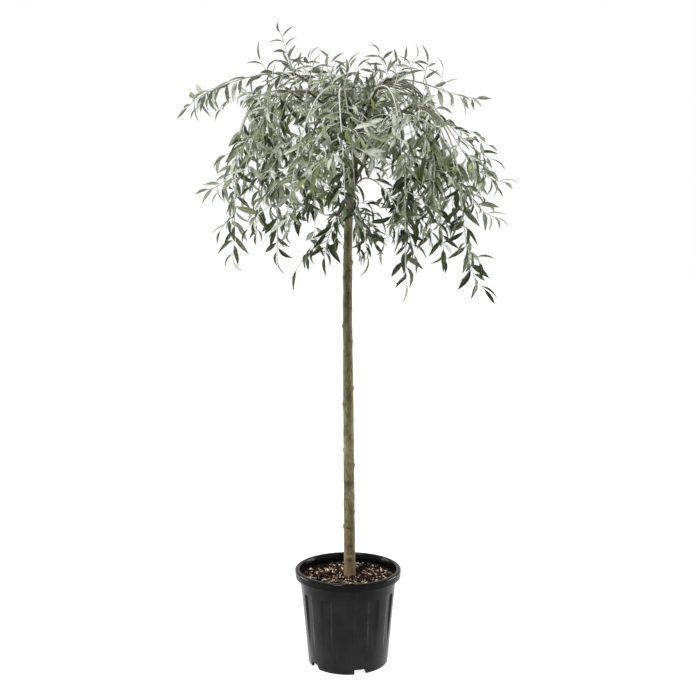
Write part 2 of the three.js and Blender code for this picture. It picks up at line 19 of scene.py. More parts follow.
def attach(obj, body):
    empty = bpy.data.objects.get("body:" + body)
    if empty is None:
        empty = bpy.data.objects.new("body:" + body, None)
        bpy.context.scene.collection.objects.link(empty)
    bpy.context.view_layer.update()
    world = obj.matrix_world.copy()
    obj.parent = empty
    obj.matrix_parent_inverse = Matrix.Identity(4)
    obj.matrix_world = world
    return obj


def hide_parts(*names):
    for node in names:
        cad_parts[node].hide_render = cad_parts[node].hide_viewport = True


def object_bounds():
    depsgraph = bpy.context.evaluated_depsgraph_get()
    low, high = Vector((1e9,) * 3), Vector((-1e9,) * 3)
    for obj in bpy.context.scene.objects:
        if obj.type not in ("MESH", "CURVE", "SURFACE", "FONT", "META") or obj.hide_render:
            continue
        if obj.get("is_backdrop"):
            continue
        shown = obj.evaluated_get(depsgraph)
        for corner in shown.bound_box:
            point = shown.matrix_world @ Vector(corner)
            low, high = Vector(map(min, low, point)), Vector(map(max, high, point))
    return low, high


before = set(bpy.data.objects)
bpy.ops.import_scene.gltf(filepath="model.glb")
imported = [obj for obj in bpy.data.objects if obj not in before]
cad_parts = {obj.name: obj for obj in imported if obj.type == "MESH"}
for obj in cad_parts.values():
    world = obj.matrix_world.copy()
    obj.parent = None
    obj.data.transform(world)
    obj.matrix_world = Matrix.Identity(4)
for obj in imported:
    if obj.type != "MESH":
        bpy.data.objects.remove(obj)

LOG = logging.getLogger("weeping_pear")
SOLID_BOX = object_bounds()
BODY = "root"
MM = 0.001
UP = Vector((0.0, 0.0, 1.0))
FRONT = Vector((0.0, -1.0, 0.0))
GOLDEN_ANGLE = math.radians(137.5)
EVEN_SKIN = 10.0

Triple = tuple[float, float, float]
Colour = Triple
Span = tuple[float, float]
Socket = bpy.types.NodeSocket
Feed = dict[str | int, object]


def lerp(start: float, end: float, share: float) -> float:
    """A number part of the way from one to another."""
    return start + (end - start) * share


def smooth(share: float) -> float:
    """A share from 0 to 1 with its two ends eased."""
    held = min(1.0, max(0.0, share))
    return held * held * (3.0 - 2.0 * held)


def polar(bearing: float, reach: float, height: float) -> Vector:
    """A point at a bearing in degrees from +X, a reach from the middle and a height."""
    turn = math.radians(bearing)
    return Vector((reach * math.cos(turn), reach * math.sin(turn), height))


def paint(red: int, green: int, blue: int) -> Colour:
    """A colour named by its screen values from 0 to 255, as the linear values of the screen's curve."""
    shares = (value / 255.0 for value in (red, green, blue))
    return tuple(s / 12.92 if s <= 0.04045 else ((s + 0.055) / 1.055) ** 2.4 for s in shares)


class Stream:
    """A seeded row of even numbers from 0 to 1, the same on every run."""

    FACTOR = 1664525
    STEP = 1013904223
    SPAN = 2**32

    def __init__(self, seed: int) -> None:
        """Starts the row at a whole number."""
        self.state = seed

    @classmethod
    def stirred(cls, seed: int) -> "Stream":
        """A row that has passed over its first number, which is much alike for neighbouring seeds."""
        row = cls(seed)
        row.next()
        return row

    def next(self) -> float:
        """The row's next number."""
        self.state = (self.state * self.FACTOR + self.STEP) % self.SPAN
        return self.state / self.SPAN

    def between(self, low: float, high: float) -> float:
        """The row's next number, spread from low to high."""
        return lerp(low, high, self.next())


class Path:
    """The middle line of a limb, read by the share of its length."""

    ARCH_POINTS = 121
    SPAN_POINTS = 25
    NEAR = 0.01

    def __init__(self, points: np.ndarray) -> None:
        """Takes points in a row, one line of three numbers each."""
        self.points = points
        steps = np.linalg.norm(np.diff(points, axis=0), axis=1)
        self.runs = np.concatenate([[0.0], np.cumsum(steps)])
        self.length = float(self.runs[-1])

    @classmethod
    def arch(cls, *corners: Vector) -> "Path":
        """A smooth arch drawn by its corner points.

        Args:
            corners: the first and last points, with the pulling points between them.

        Returns:
            The arch as a path.
        """
        shares = np.linspace(0.0, 1.0, cls.ARCH_POINTS)[:, None]
        rows = [np.array(corner)[None, :] * np.ones_like(shares) for corner in corners]
        while len(rows) > 1:
            rows = [near + (far - near) * shares for near, far in zip(rows, rows[1:])]
        return cls(rows[0])

    @classmethod
    def through(cls, stops: Sequence[Vector]) -> "Path":
        """A smooth line that passes through every stop.

        Args:
            stops: the points to pass through, in order.

        Returns:
            The line as a path.
        """
        ends = [np.array(stop, float) for stop in stops]
        row = [2 * ends[0] - ends[1], *ends, 2 * ends[-1] - ends[-2]]
        share = np.linspace(0.0, 1.0, cls.SPAN_POINTS)[:, None]
        pieces = []
        for before, start, end, after in zip(row, row[1:], row[2:], row[3:]):
            pairs = ((before, start), (start, end), (end, after))
            first, middle, last = (math.sqrt(np.linalg.norm(far - near)) for near, far in pairs)
            leave = (start - before) / first - (end - before) / (first + middle) + (end - start) / middle
            arrive = (end - start) / middle - (after - start) / (middle + last) + (after - end) / last
            leave, arrive = leave * middle, arrive * middle
            square = -3 * start + 3 * end - 2 * leave - arrive
            cube = 2 * start - 2 * end + leave + arrive
            pieces.append(start + share * (leave + share * (square + share * cube)))
        joined = [pieces[0], *(piece[1:] for piece in pieces[1:])]
        return cls(np.concatenate(joined))

    def at(self, shares: np.ndarray) -> np.ndarray:
        """Places at several shares of the length, one line each."""
        runs = np.clip(shares, 0.0, 1.0) * self.length
        return np.stack([np.interp(runs, self.runs, self.points[:, k]) for k in range(3)], axis=-1)

    def point(self, share: float) -> Vector:
        """The place at a share of the length."""
        return Vector(self.at(np.array([share]))[0])

    def way(self, share: float) -> Vector:
        """The direction of growth at a share of the length."""
        near = self.at(np.array([share - self.NEAR, share + self.NEAR]))
        return Vector(near[1] - near[0]).normalized()

    def frames(self, steps: int) -> Iterator[tuple[Vector, Vector, Vector]]:
        """Walks along the path with two directions across it that don't spin.

        Args:
            steps: how many equal steps the walk has.

        Yields:
            The place, and the two directions across the path there.
        """
        way = self.way(0.0)
        across = way.orthogonal().normalized()
        for step in range(steps + 1):
            share = step / steps
            ahead = self.way(share)
            across = (way.rotation_difference(ahead) @ across).normalized()
            way = ahead
            yield self.point(share), across, way.cross(across).normalized()


class ShaderTree:
    """A node tree, with short calls for the nodes that the finishes and the surroundings use."""

    MIX_UNDER = 6
    MIX_OVER = 7
    MIX_RESULT = 2

    def __init__(self, tree: bpy.types.NodeTree) -> None:
        """Takes the tree that the nodes are added to."""
        self.tree = tree

    def node(self, kind: str, fed: Feed | None = None, **settings: object) -> bpy.types.Node:
        """Adds a node.

        Args:
            kind: the node's type.
            fed: the sockets or the values that its inputs take, by their names or places.
            settings: the node's own settings.

        Returns:
            The node.
        """
        made = self.tree.nodes.new(kind)
        for name, value in settings.items():
            setattr(made, name, value)
        for key, value in (fed or {}).items():
            if isinstance(value, Socket):
                self.tree.links.new(value, made.inputs[key])
            else:
                made.inputs[key].default_value = value
        return made

    def spread(self, source: str = "Object", stretch: Triple = (1.0, 1.0, 1.0)) -> Socket:
        """The piece's own coordinates, stretched along its axes.

        Args:
            source: which coordinates, Object or UV.
            stretch: the scale along each axis.

        Returns:
            The coordinates' socket.
        """
        where = self.node("ShaderNodeTexCoord").outputs[source]
        return self.node("ShaderNodeMapping", {"Vector": where, "Scale": stretch}).outputs["Vector"]

    def axis(self, name: str, source: str = "Object") -> Socket:
        """One axis of the piece's own coordinates."""
        return self.node("ShaderNodeSeparateXYZ", {"Vector": self.spread(source)}).outputs[name]

    def attribute(self, name: str) -> Socket:
        """A number that the mesh holds at each of its points."""
        return self.node("ShaderNodeAttribute", attribute_name=name).outputs["Fac"]

    def cloud(self, where: Socket, scale: float, detail: float = 4.0) -> Socket:
        """A cloudy pattern.

        Args:
            where: the coordinates that it reads.
            scale: how many clouds there are to a metre.
            detail: how many finer layers it has.

        Returns:
            The pattern's socket, from 0 to 1.
        """
        fed = {"Vector": where, "Scale": scale, "Detail": detail}
        return self.node("ShaderNodeTexNoise", fed).outputs["Fac"]

    def specks(self, where: Socket, scale: float) -> Socket:
        """The distance to the nearest of many scattered points."""
        return self.node("ShaderNodeTexVoronoi", {"Vector": where, "Scale": scale}).outputs["Distance"]

    def ramp(self, factor: Socket, *stops: tuple[float, Colour]) -> Socket:
        """Turns a pattern into colours.

        Args:
            factor: the pattern.
            stops: places from 0 to 1 and the colours there.

        Returns:
            The colour's socket.
        """
        made = self.node("ShaderNodeValToRGB", {"Fac": factor})
        marks = made.color_ramp.elements
        while len(marks) < len(stops):
            marks.new(0.5)
        for mark, (place, colour) in zip(marks, stops):
            mark.position = place
            mark.color = (*colour, 1.0)
        return made.outputs["Color"]

    def level(self, factor: Socket, to: Span, of: Span = (0.0, 1.0)) -> Socket:
        """Spreads a range of a pattern over another range.

        Args:
            factor: the pattern.
            to: the results at the two ends of the range.
            of: the pattern's values that give them.

        Returns:
            The spread pattern's socket.
        """
        ends = dict(zip(("From Min", "From Max", "To Min", "To Max"), (*of, *to)))
        return self.node("ShaderNodeMapRange", {"Value": factor, **ends}).outputs["Result"]

    def sum(self, first: Socket, second: Socket, share: float) -> Socket:
        """Adds a share of a second pattern to the first."""
        fed = {0: second, 1: share, 2: first}
        return self.node("ShaderNodeMath", fed, operation="MULTIPLY_ADD").outputs[0]

    def blend(self, factor: Socket, under: Socket | Colour, over: Socket | Colour) -> Socket:
        """Lays one colour over another by a pattern.

        Args:
            factor: where the upper colour shows.
            under: the lower colour, or its socket.
            over: the upper colour, or its socket.

        Returns:
            The mixed colour's socket.
        """
        low, high = ((*shade, 1.0) if isinstance(shade, tuple) else shade for shade in (under, over))
        fed = {0: factor, self.MIX_UNDER: low, self.MIX_OVER: high}
        return self.node("ShaderNodeMix", fed, data_type="RGBA").outputs[self.MIX_RESULT]

    def seen_or_mirrored(self) -> Socket:
        """1 where the studio is looked at or mirrored, and 0 where it only lights something."""
        rays = self.node("ShaderNodeLightPath").outputs
        fed = {0: rays["Is Camera Ray"], 1: rays["Is Glossy Ray"]}
        return self.node("ShaderNodeMath", fed, operation="MAXIMUM").outputs[0]


class FinishTree(ShaderTree):
    """The node tree of one finish, which leads into a plain shader."""

    def __init__(self, name: str) -> None:
        """Starts a material with a plain shader."""
        self.material = bpy.data.materials.new(name)
        self.material.use_nodes = True
        super().__init__(self.material.node_tree)
        self.shader = self.tree.nodes["Principled BSDF"]

    def fix(self, **values: float | Colour) -> None:
        """Sets sockets of the shader that are the same all over, by their names with underscores."""
        for name, value in values.items():
            socket = self.shader.inputs[name.replace("_", " ")]
            socket.default_value = (*value, 1.0) if isinstance(value, tuple) else value

    def drive(self, socket: str, source: Socket) -> None:
        """Leads a pattern into one of the shader's sockets."""
        self.tree.links.new(source, self.shader.inputs[socket])

    def bump(self, height: Socket, strength: float, depth: float) -> None:
        """Raises the surface by a pattern.

        Args:
            height: the pattern.
            strength: how much of the relief shows.
            depth: the relief's depth in millimetres.
        """
        fed = {"Height": height, "Strength": strength, "Distance": depth * MM}
        self.drive("Normal", self.node("ShaderNodeBump", fed).outputs["Normal"])


@dataclass(frozen=True)
class PlasticFinish:
    """Black moulded plastic with a satin face, faint drag marks, and dust that gathers towards its foot."""

    name: str
    body: Colour
    dust: Colour
    gloss: float
    satin: Span

    def material(self) -> bpy.types.Material:
        """The finish as a material."""
        made = FinishTree(self.name)
        drags = made.cloud(made.spread(stretch=(1.0, 1.0, 0.08)), scale=210.0, detail=3.0)
        patches = made.cloud(made.spread(), scale=22.0, detail=5.0)
        grain = made.cloud(made.spread(), scale=1500.0, detail=2.0)
        smears = made.level(made.sum(patches, drags, share=0.5), to=(0.0, 0.22), of=(0.62, 0.98))
        splashes = made.level(made.axis("Z"), to=(0.16, 0.0), of=(0.03, 0.2))
        film = made.sum(smears, splashes, share=1.0)
        made.drive("Base Color", made.blend(film, self.body, self.dust))
        rubbed = made.sum(patches, drags, share=0.4)
        made.drive("Roughness", made.level(rubbed, to=self.satin, of=(0.4, 0.95)))
        made.fix(Specular_IOR_Level=self.gloss)
        made.bump(made.sum(grain, drags, share=0.6), strength=0.1, depth=0.2)
        return made.material


@dataclass(frozen=True)
class BarkFinish:
    """Smooth young bark: olive brown, streaked along the limb, with pale breathing pores and dark scars.

    It is stained by the soil up to a little above it.
    """

    name: str
    deep: Colour
    main: Colour
    pale: Colour
    foot: Colour
    pore: Colour = paint(150, 138, 112)
    soil: Span = (0.222, 0.36)

    def material(self) -> bpy.types.Material:
        """The finish as a material."""
        made = FinishTree(self.name)
        streaks = made.cloud(made.spread(stretch=(1.0, 1.0, 0.14)), scale=420.0, detail=6.0)
        patches = made.cloud(made.spread(stretch=(1.0, 1.0, 0.5)), scale=55.0, detail=5.0)
        tone = made.level(made.sum(patches, streaks, share=0.9), to=(0.0, 1.0), of=(0.55, 1.35))
        shade = made.ramp(tone, (0.07, self.deep), (0.4, self.main), (0.73, self.pale))
        shade = made.blend(made.level(made.axis("Z"), to=(0.75, 0.0), of=self.soil), shade, self.foot)
        wide, small = made.spread(stretch=(0.6, 0.6, 1.3)), made.spread(stretch=(0.55, 0.55, 1.5))
        scars = made.level(made.specks(wide, scale=34.0), to=(0.7, 0.0), of=(0.06, 0.24))
        pores = made.level(made.specks(small, scale=105.0), to=(0.75, 0.0), of=(0.05, 0.16))
        shade = made.blend(scars, shade, self.deep)
        made.drive("Base Color", made.blend(pores, shade, self.pore))
        made.drive("Roughness", made.level(streaks, to=(0.62, 0.92), of=(0.3, 0.7)))
        made.fix(Specular_IOR_Level=0.3)
        made.bump(made.sum(streaks, pores, share=0.4), strength=0.55, depth=0.9)
        return made.material


@dataclass(frozen=True)
class StemFinish:
    """Young stems: brown where they leave the limb, felted silver towards their tips."""

    old: Colour = paint(62, 56, 42)
    young: Colour = paint(216, 218, 206)
    bud: Colour = paint(150, 150, 128)

    def material(self) -> bpy.types.Material:
        """The finish as a material."""
        made = FinishTree("young_stem")
        felt = made.cloud(made.spread(), scale=380.0)
        tone = made.sum(made.attribute("age"), felt, share=0.35)
        made.drive("Base Color", made.ramp(tone, (0.12, self.old), (0.42, self.bud), (0.78, self.young)))
        made.drive("Roughness", made.level(felt, to=(0.66, 0.9), of=(0.3, 0.7)))
        made.fix(Specular_IOR_Level=0.25, Sheen_Weight=0.2, Sheen_Roughness=0.5)
        made.bump(felt, strength=0.35, depth=0.4)
        return made.material


@dataclass(frozen=True)
class LeafFinish:
    """A silver-haired leaf: its face with a pale midrib, or its paler felted back."""

    name: str
    main: Colour
    light: Colour
    rib: Colour
    hairs: float

    def material(self) -> bpy.types.Material:
        """The finish as a material."""
        made = FinishTree(self.name)
        inward = made.node("ShaderNodeMath", {0: made.axis("X", "UV"), 1: 0.5}, operation="PINGPONG")
        middle = made.level(inward.outputs[0], to=(0.0, 0.7), of=(0.4, 0.5))
        bloom = made.cloud(made.spread(), scale=130.0, detail=5.0)
        fine = made.cloud(made.spread(), scale=900.0, detail=2.0)
        cover = made.level(made.sum(bloom, fine, share=0.5), to=(0.0, 1.0), of=(0.5, 1.0))
        shade = made.blend(cover, self.main, self.light)
        made.drive("Base Color", made.blend(middle, shade, self.rib))
        made.drive("Roughness", made.level(fine, to=(0.52, 0.74), of=(0.3, 0.7)))
        made.fix(Specular_IOR_Level=0.22, Sheen_Weight=self.hairs, Sheen_Roughness=0.4)
        made.bump(made.sum(fine, middle, share=-0.6), strength=0.25, depth=0.35)
        return made.material


@dataclass(frozen=True)
class SoilFinish:
    """Dark moist compost of fine bark crumbs and fibres."""

    deep: Colour = paint(8, 5, 3)
    main: Colour = paint(40, 28, 19)
    fleck: Colour = paint(128, 100, 70)

    def material(self) -> bpy.types.Material:
        """The finish as a material."""
        made = FinishTree("compost_crumb")
        crumbs = made.specks(made.spread(), scale=240.0)
        damp = made.cloud(made.spread(), scale=60.0, detail=6.0)
        tone = made.sum(damp, crumbs, share=0.4)
        made.drive("Base Color", made.ramp(tone, (0.42, self.deep), (0.66, self.main), (0.92, self.fleck)))
        made.drive("Roughness", made.level(damp, to=(0.7, 0.98), of=(0.3, 0.7)))
        made.fix(Specular_IOR_Level=0.06)
        made.bump(made.sum(damp, crumbs, share=1.0), strength=0.9, depth=3.0)
        return made.material


@dataclass(frozen=True)
class ChipFinish:
    """One colour of bark chip, split along its grain."""

    name: str
    dark: Colour
    light: Colour

    def material(self) -> bpy.types.Material:
        """The finish as a material."""
        made = FinishTree(self.name)
        grain = made.cloud(made.spread(stretch=(1.0, 0.35, 1.0)), scale=520.0, detail=5.0)
        made.drive("Base Color", made.ramp(grain, (0.32, self.dark), (0.68, self.light)))
        made.drive("Roughness", made.level(grain, to=(0.68, 0.95), of=(0.3, 0.7)))
        made.fix(Specular_IOR_Level=0.06)
        made.bump(grain, strength=0.6, depth=0.8)
        return made.material


@dataclass(frozen=True)
class FloorFinish:
    """A plain pale studio floor with a faint unevenness, bright to look at and dim as a light."""

    main: Colour = (0.36, 0.36, 0.36)
    light: Colour = (0.39, 0.39, 0.39)
    glow: float = 0.88
    dim: float = 0.2

    def material(self) -> bpy.types.Material:
        """The finish as a material."""
        made = FinishTree("pale_floor")
        patches = made.cloud(made.spread(), scale=3.0, detail=3.0)
        made.drive("Base Color", made.ramp(patches, (0.35, self.main), (0.65, self.light)))
        made.fix(Roughness=0.8, Specular_IOR_Level=0.2, Emission_Color=(1.0, 1.0, 1.0))
        made.drive("Emission Strength", made.level(made.seen_or_mirrored(), to=(self.dim, self.glow)))
        return made.material


class Tint(Enum):
    """The colours of the leaves, dealt out by spray. Young is the tips' own yellow-green. The others are
    partly the leaves' own colour and partly painted light and shade: lighter silver and sage where the sky
    lights them, darker shade and olive where the crown shades them.
    """

    SILVER = "silver"
    SAGE = "sage"
    SHADE = "shade"
    OLIVE = "olive"
    YOUNG = "young"


class ChipTint(Enum):
    """The colours of the bark chips."""

    BLACK = "black"
    RUST = "rust"
    TAN = "tan"
    STRAW = "straw"


POT_WALL = PlasticFinish("black_plastic", paint(7, 7, 9), paint(58, 56, 54), 0.15, (0.15, 0.28))
# The lip's copy of the black plastic has darker body and dust colours, as painted shade on the lip band, and
# its own gloss and roughness.
POT_LIP = PlasticFinish("black_lip", paint(5, 5, 5), paint(16, 16, 16), 0.1, (0.11, 0.24))
TRUNK_BARK = BarkFinish("olive_bark", paint(45, 40, 26), paint(91, 83, 57), paint(132, 122, 91),
                        foot=paint(110, 86, 62))
BOUGH_BARK = BarkFinish("bough_bark", paint(38, 34, 24), paint(66, 61, 45), paint(104, 99, 78),
                        foot=paint(66, 61, 45))
# Lit and shaded copies of the leaf face: silver and sage carry painted light, and shade and olive carry
# painted shade for the leaves inside and under the crown.
LEAF_FACES = {
    Tint.SILVER: LeafFinish("leaf_silver", paint(158, 165, 145), paint(211, 215, 200),
                            paint(224, 227, 214), hairs=0.1),
    Tint.SAGE: LeafFinish("leaf_sage", paint(90, 103, 69), paint(150, 161, 129),
                          paint(192, 198, 172), hairs=0.075),
    Tint.SHADE: LeafFinish("leaf_shade", paint(25, 34, 16), paint(54, 66, 38),
                           paint(98, 107, 74), hairs=0.03),
    Tint.OLIVE: LeafFinish("leaf_olive", paint(38, 48, 16), paint(74, 84, 40),
                           paint(112, 120, 72), hairs=0.025),
    Tint.YOUNG: LeafFinish("leaf_young", paint(122, 134, 74), paint(160, 170, 116),
                           paint(186, 192, 146), hairs=0.05),
}
PALE_BACK = LeafFinish("leaf_back_pale", paint(122, 131, 108), paint(172, 179, 158),
                       paint(196, 200, 182), hairs=0.1)
# A darker copy of the leaf back, as painted shade on the backs of the leaves inside the crown.
SHADED_BACK = LeafFinish("leaf_back_shaded", paint(60, 70, 45), paint(102, 112, 84),
                       paint(138, 145, 116), hairs=0.04)
CHIP_FINISHES = {
    ChipTint.BLACK: ChipFinish("chip_black", paint(5, 3, 2), paint(24, 16, 11)),
    ChipTint.RUST: ChipFinish("chip_rust", paint(50, 31, 20), paint(98, 66, 46)),
    ChipTint.TAN: ChipFinish("chip_tan", paint(110, 88, 66), paint(172, 146, 118)),
    ChipTint.STRAW: ChipFinish("chip_straw", paint(198, 182, 156), paint(246, 236, 214)),
}


def put(name: str, data: bpy.types.ID) -> bpy.types.Object:
    """Puts a mesh, a light or a camera in the scene under a name."""
    made = bpy.data.objects.new(name, data)
    bpy.context.scene.collection.objects.link(made)
    return made


def show(name: str, mesh: bpy.types.Mesh, nodes: Sequence[str],
         finishes: Sequence[bpy.types.Material], crease: float = 40.0) -> bpy.types.Object:
    """Puts a finished mesh in the scene as a piece of the object.

    Args:
        name: the piece's name.
        mesh: its mesh, in metres and in its place.
        nodes: the solids that it stands for.
        finishes: its materials, in the order of its faces' numbers.
        crease: edges sharper than this many degrees stay sharp.

    Returns:
        The piece.
    """
    mesh.polygons.foreach_set("use_smooth", np.ones(len(mesh.polygons), bool))
    mesh.set_sharp_from_angle(angle=math.radians(crease))
    for finish in finishes:
        mesh.materials.append(finish)
    piece = put(name, mesh)
    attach(piece, BODY)
    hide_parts(*nodes)
    LOG.info("%s: %d faces", name, len(mesh.polygons))
    return piece


def mesh_of(name: str, made: bmesh.types.BMesh) -> bpy.types.Mesh:
    """Turns a shape in millimetres into a mesh in metres.

    Args:
        name: the mesh's name.
        made: the shape, which is freed.

    Returns:
        The mesh.
    """
    bmesh.ops.scale(made, vec=(MM, MM, MM), verts=made.verts)
    mesh = bpy.data.meshes.new(name)
    made.to_mesh(mesh)
    made.free()
    return mesh


@dataclass(frozen=True)
class Corner:
    """A corner of a turned profile: its place, how far it is rounded, and the cuts in the edge after it."""

    radius: float
    height: float
    rounding: float = 0.0
    cuts: int = 0


def turned(profile: Sequence[Corner], steps: int, closed: bool) -> bmesh.types.BMesh:
    """Turns a profile round the upright axis.

    Args:
        profile: its corners, in order.
        steps: how many steps one turn has.
        closed: whether the last corner joins the first.

    Returns:
        The turned shape.
    """
    made = bmesh.new()
    ends = [made.verts.new((corner.radius, 0.0, corner.height)) for corner in profile]
    others = ends[1:] + ends[:1] if closed else ends[1:]
    edges = [made.edges.new(pair) for pair in zip(ends, others)]
    for corner, edge in zip(profile, edges):
        if corner.cuts:
            bmesh.ops.subdivide_edges(made, edges=[edge], cuts=corner.cuts)
    for corner in profile:
        if corner.rounding:
            spot = Vector((corner.radius, 0.0, corner.height))
            sharp = min(made.verts, key=lambda vert: (vert.co - spot).length)
            bmesh.ops.bevel(made, geom=[sharp], offset=corner.rounding, offset_type="OFFSET", segments=4,
                            profile=0.5, affect="VERTICES", material=-1)
    bmesh.ops.spin(made, geom=[*made.verts, *made.edges], cent=(0, 0, 0), axis=(0, 0, 1), dvec=(0, 0, 0),
                   angle=2 * math.pi, steps=steps, use_merge=True)
    bmesh.ops.remove_doubles(made, verts=made.verts, dist=0.01)
    bmesh.ops.recalc_face_normals(made, faces=made.faces)
    return made


def sweep(made: bmesh.types.BMesh, path: Path, radius_at: Callable[[float, Vector], float],
          sides: int, steps: int) -> None:
    """Bends a grid round a path into a closed limb.

    Args:
        made: the shape that the limb is added to.
        path: the limb's middle line.
        radius_at: the radius at a share of the length, for a place on an even skin round the path.
        sides: how many faces go round.
        steps: how many faces go along.
    """
    skin = bmesh.ops.create_grid(made, x_segments=sides, y_segments=steps, size=1.0)["verts"]
    frames = list(path.frames(steps))
    for corner in skin:
        turn = (corner.co.x + 1.0) * math.pi
        row = round((corner.co.y + 1.0) / 2.0 * steps)
        middle, across, over = frames[row]
        out = across * math.cos(turn) + over * math.sin(turn)
        corner.co = middle + out * radius_at(row / steps, middle + out * EVEN_SKIN)
    bmesh.ops.remove_doubles(made, verts=skin, dist=1e-4)
    rims = [edge for edge in made.edges if edge.is_boundary]
    bmesh.ops.holes_fill(made, edges=rims, sides=0)


@dataclass
class Pot:
    """The fluted container with its turned-down lip and slotted foot."""

    height: float = 250.0
    lip_radius: float = 140.0
    lip_height: float = 21.0
    lip_width: float = 12.0
    lip_taper: float = 0.8
    lip_shade: float = 1.0
    neck_radius: float = 127.0
    foot_radius: float = 105.0
    wall: float = 2.5
    skin: float = 0.9
    base_lift: float = 14.0
    flutes: int = 12
    flute_turn: float = -12.5
    flute_depth: float = 4.8
    flute_wall: float = 8.0
    flute_widen: float = 0.01
    flute_top: float = 195.0
    flute_end: float = 62.0
    flute_foot: float = 37.0
    flute_run: float = 113.0
    shoulder: float = 1.6
    inner_step: float = 6.0
    slots: int = 5
    slot_turn: float = 16.8
    slot_width: float = 26.0
    slot_height: float = 13.0
    slot_depth: float = 30.0
    slot_slope: float = 0.5
    slot_shift: float = 0.06
    steps_per_flute: int = 40

    def wall_radius(self, height: float) -> float:
        """The outside of the wall at a height, on a rib."""
        return lerp(self.foot_radius, self.neck_radius, height / (self.height - self.lip_height))

    def inner_radius(self, height: float) -> float:
        """The inside of the wall at a height."""
        return self.wall_radius(height) - self.wall - (0.0 if height > self.flute_top else self.flute_depth)

    def shell(self) -> bmesh.types.BMesh:
        """The turned shell, with its corners rounded and no flutes yet."""
        under = self.height - self.lip_height
        floor = self.base_lift + self.wall
        step = self.flute_top + self.inner_step
        shoulder = self.flute_top + self.shoulder
        return turned([
            Corner(self.foot_radius - self.wall - self.flute_depth, 0.0),
            Corner(self.foot_radius, 0.0, rounding=2.0, cuts=6),
            Corner(self.wall_radius(self.flute_end), self.flute_end, cuts=14),
            Corner(self.wall_radius(self.flute_top), self.flute_top),
            Corner(self.wall_radius(shoulder), shoulder, cuts=2),
            Corner(self.neck_radius, under, rounding=2.5),
            Corner(self.lip_radius - self.lip_taper, under, rounding=2.2, cuts=2),
            Corner(self.lip_radius, self.height, rounding=4.5),
            Corner(self.lip_radius - self.lip_width, self.height, rounding=3.0),
            Corner(self.inner_radius(under), under),
            Corner(self.inner_radius(step), step),
            Corner(self.inner_radius(self.flute_top), self.flute_top),
            Corner(self.inner_radius(floor), floor, rounding=3.0),
            Corner(0.0, floor),
            Corner(0.0, self.base_lift),
            Corner(self.inner_radius(self.base_lift), self.base_lift),
        ], self.flutes * self.steps_per_flute, closed=True)

    def flute(self, made: bmesh.types.BMesh) -> None:
        """Presses the wall in between the ribs, each flute dying out towards the foot."""
        half = math.pi / self.flutes / 2.0
        for corner in made.verts:
            radius = math.hypot(corner.co.x, corner.co.y)
            outside = abs(radius - self.wall_radius(corner.co.z)) < self.skin
            if not outside or corner.co.z > self.flute_top + self.shoulder / 2.0:
                continue
            turn = math.atan2(corner.co.y, corner.co.x) % (4.0 * half)
            inside = half + self.flute_widen - abs(turn - 2.0 * half)
            across = smooth(inside * radius / self.flute_wall)
            along = smooth((corner.co.z - self.flute_foot) / self.flute_run)
            corner.co.xy *= 1.0 - across * along * self.flute_depth / radius

    def slot_cutter(self) -> bpy.types.Object:
        """The block that opens the slots of the foot, each with one sloped side."""
        made = bmesh.new()
        for place in range(self.slots):
            block = bmesh.ops.create_cube(made, size=1.0)["verts"]
            bmesh.ops.scale(made, vec=(self.slot_width, self.slot_depth, 2.0 * self.slot_height), verts=block)
            low = [corner for corner in block if corner.co.z < 0.0 and corner.co.x > 0.0]
            bmesh.ops.translate(made, vec=(self.slot_width * self.slot_slope, 0.0, 0.0), verts=low)
            shift = -self.slot_shift * self.slot_width
            bmesh.ops.translate(made, vec=(shift, -self.foot_radius, 0.0), verts=block)
            turn = math.radians(self.slot_turn) + place * 2.0 * math.pi / self.slots
            bmesh.ops.rotate(made, matrix=Matrix.Rotation(turn, 3, "Z"), verts=block)
        return put("slot_cutter", mesh_of("slot_cutter", made))

    def build(self) -> bpy.types.Object:
        """Makes and dresses the pot."""
        made = self.shell()
        self.flute(made)
        turn = math.radians(self.flute_turn - 90.0)
        bmesh.ops.rotate(made, matrix=Matrix.Rotation(turn, 3, "Z"), verts=made.verts)
        whole = put("pot_whole", mesh_of("pot_whole", made))
        cutter = self.slot_cutter()
        cut = whole.modifiers.new("slots", "BOOLEAN")
        cut.operation = "DIFFERENCE"
        cut.solver = "EXACT"
        cut.object = cutter
        bpy.context.view_layer.update()
        mesh = bpy.data.meshes.new_from_object(whole.evaluated_get(bpy.context.evaluated_depsgraph_get()))
        mesh.name = "pot_shell"
        for spent in (whole, cutter):
            bpy.data.objects.remove(spent)
        heights = np.array([face.center.z for face in mesh.polygons]) / MM
        # The lip's faces take the darker copy of the plastic, painted shade on the lip band.
        on_lip = heights > self.height - self.lip_height - self.lip_shade
        mesh.polygons.foreach_set("material_index", on_lip.astype(np.int32))
        finishes = [POT_WALL.material(), POT_LIP.material()]
        return show("pot_shell", mesh, ["pot"], finishes, crease=46.0)


@dataclass
class Chip:
    """One kind of bark chip: its colour, how many there are, its length, and its other sizes as shares."""

    tint: ChipTint
    count: int
    length: Span
    width: Span
    thickness: Span


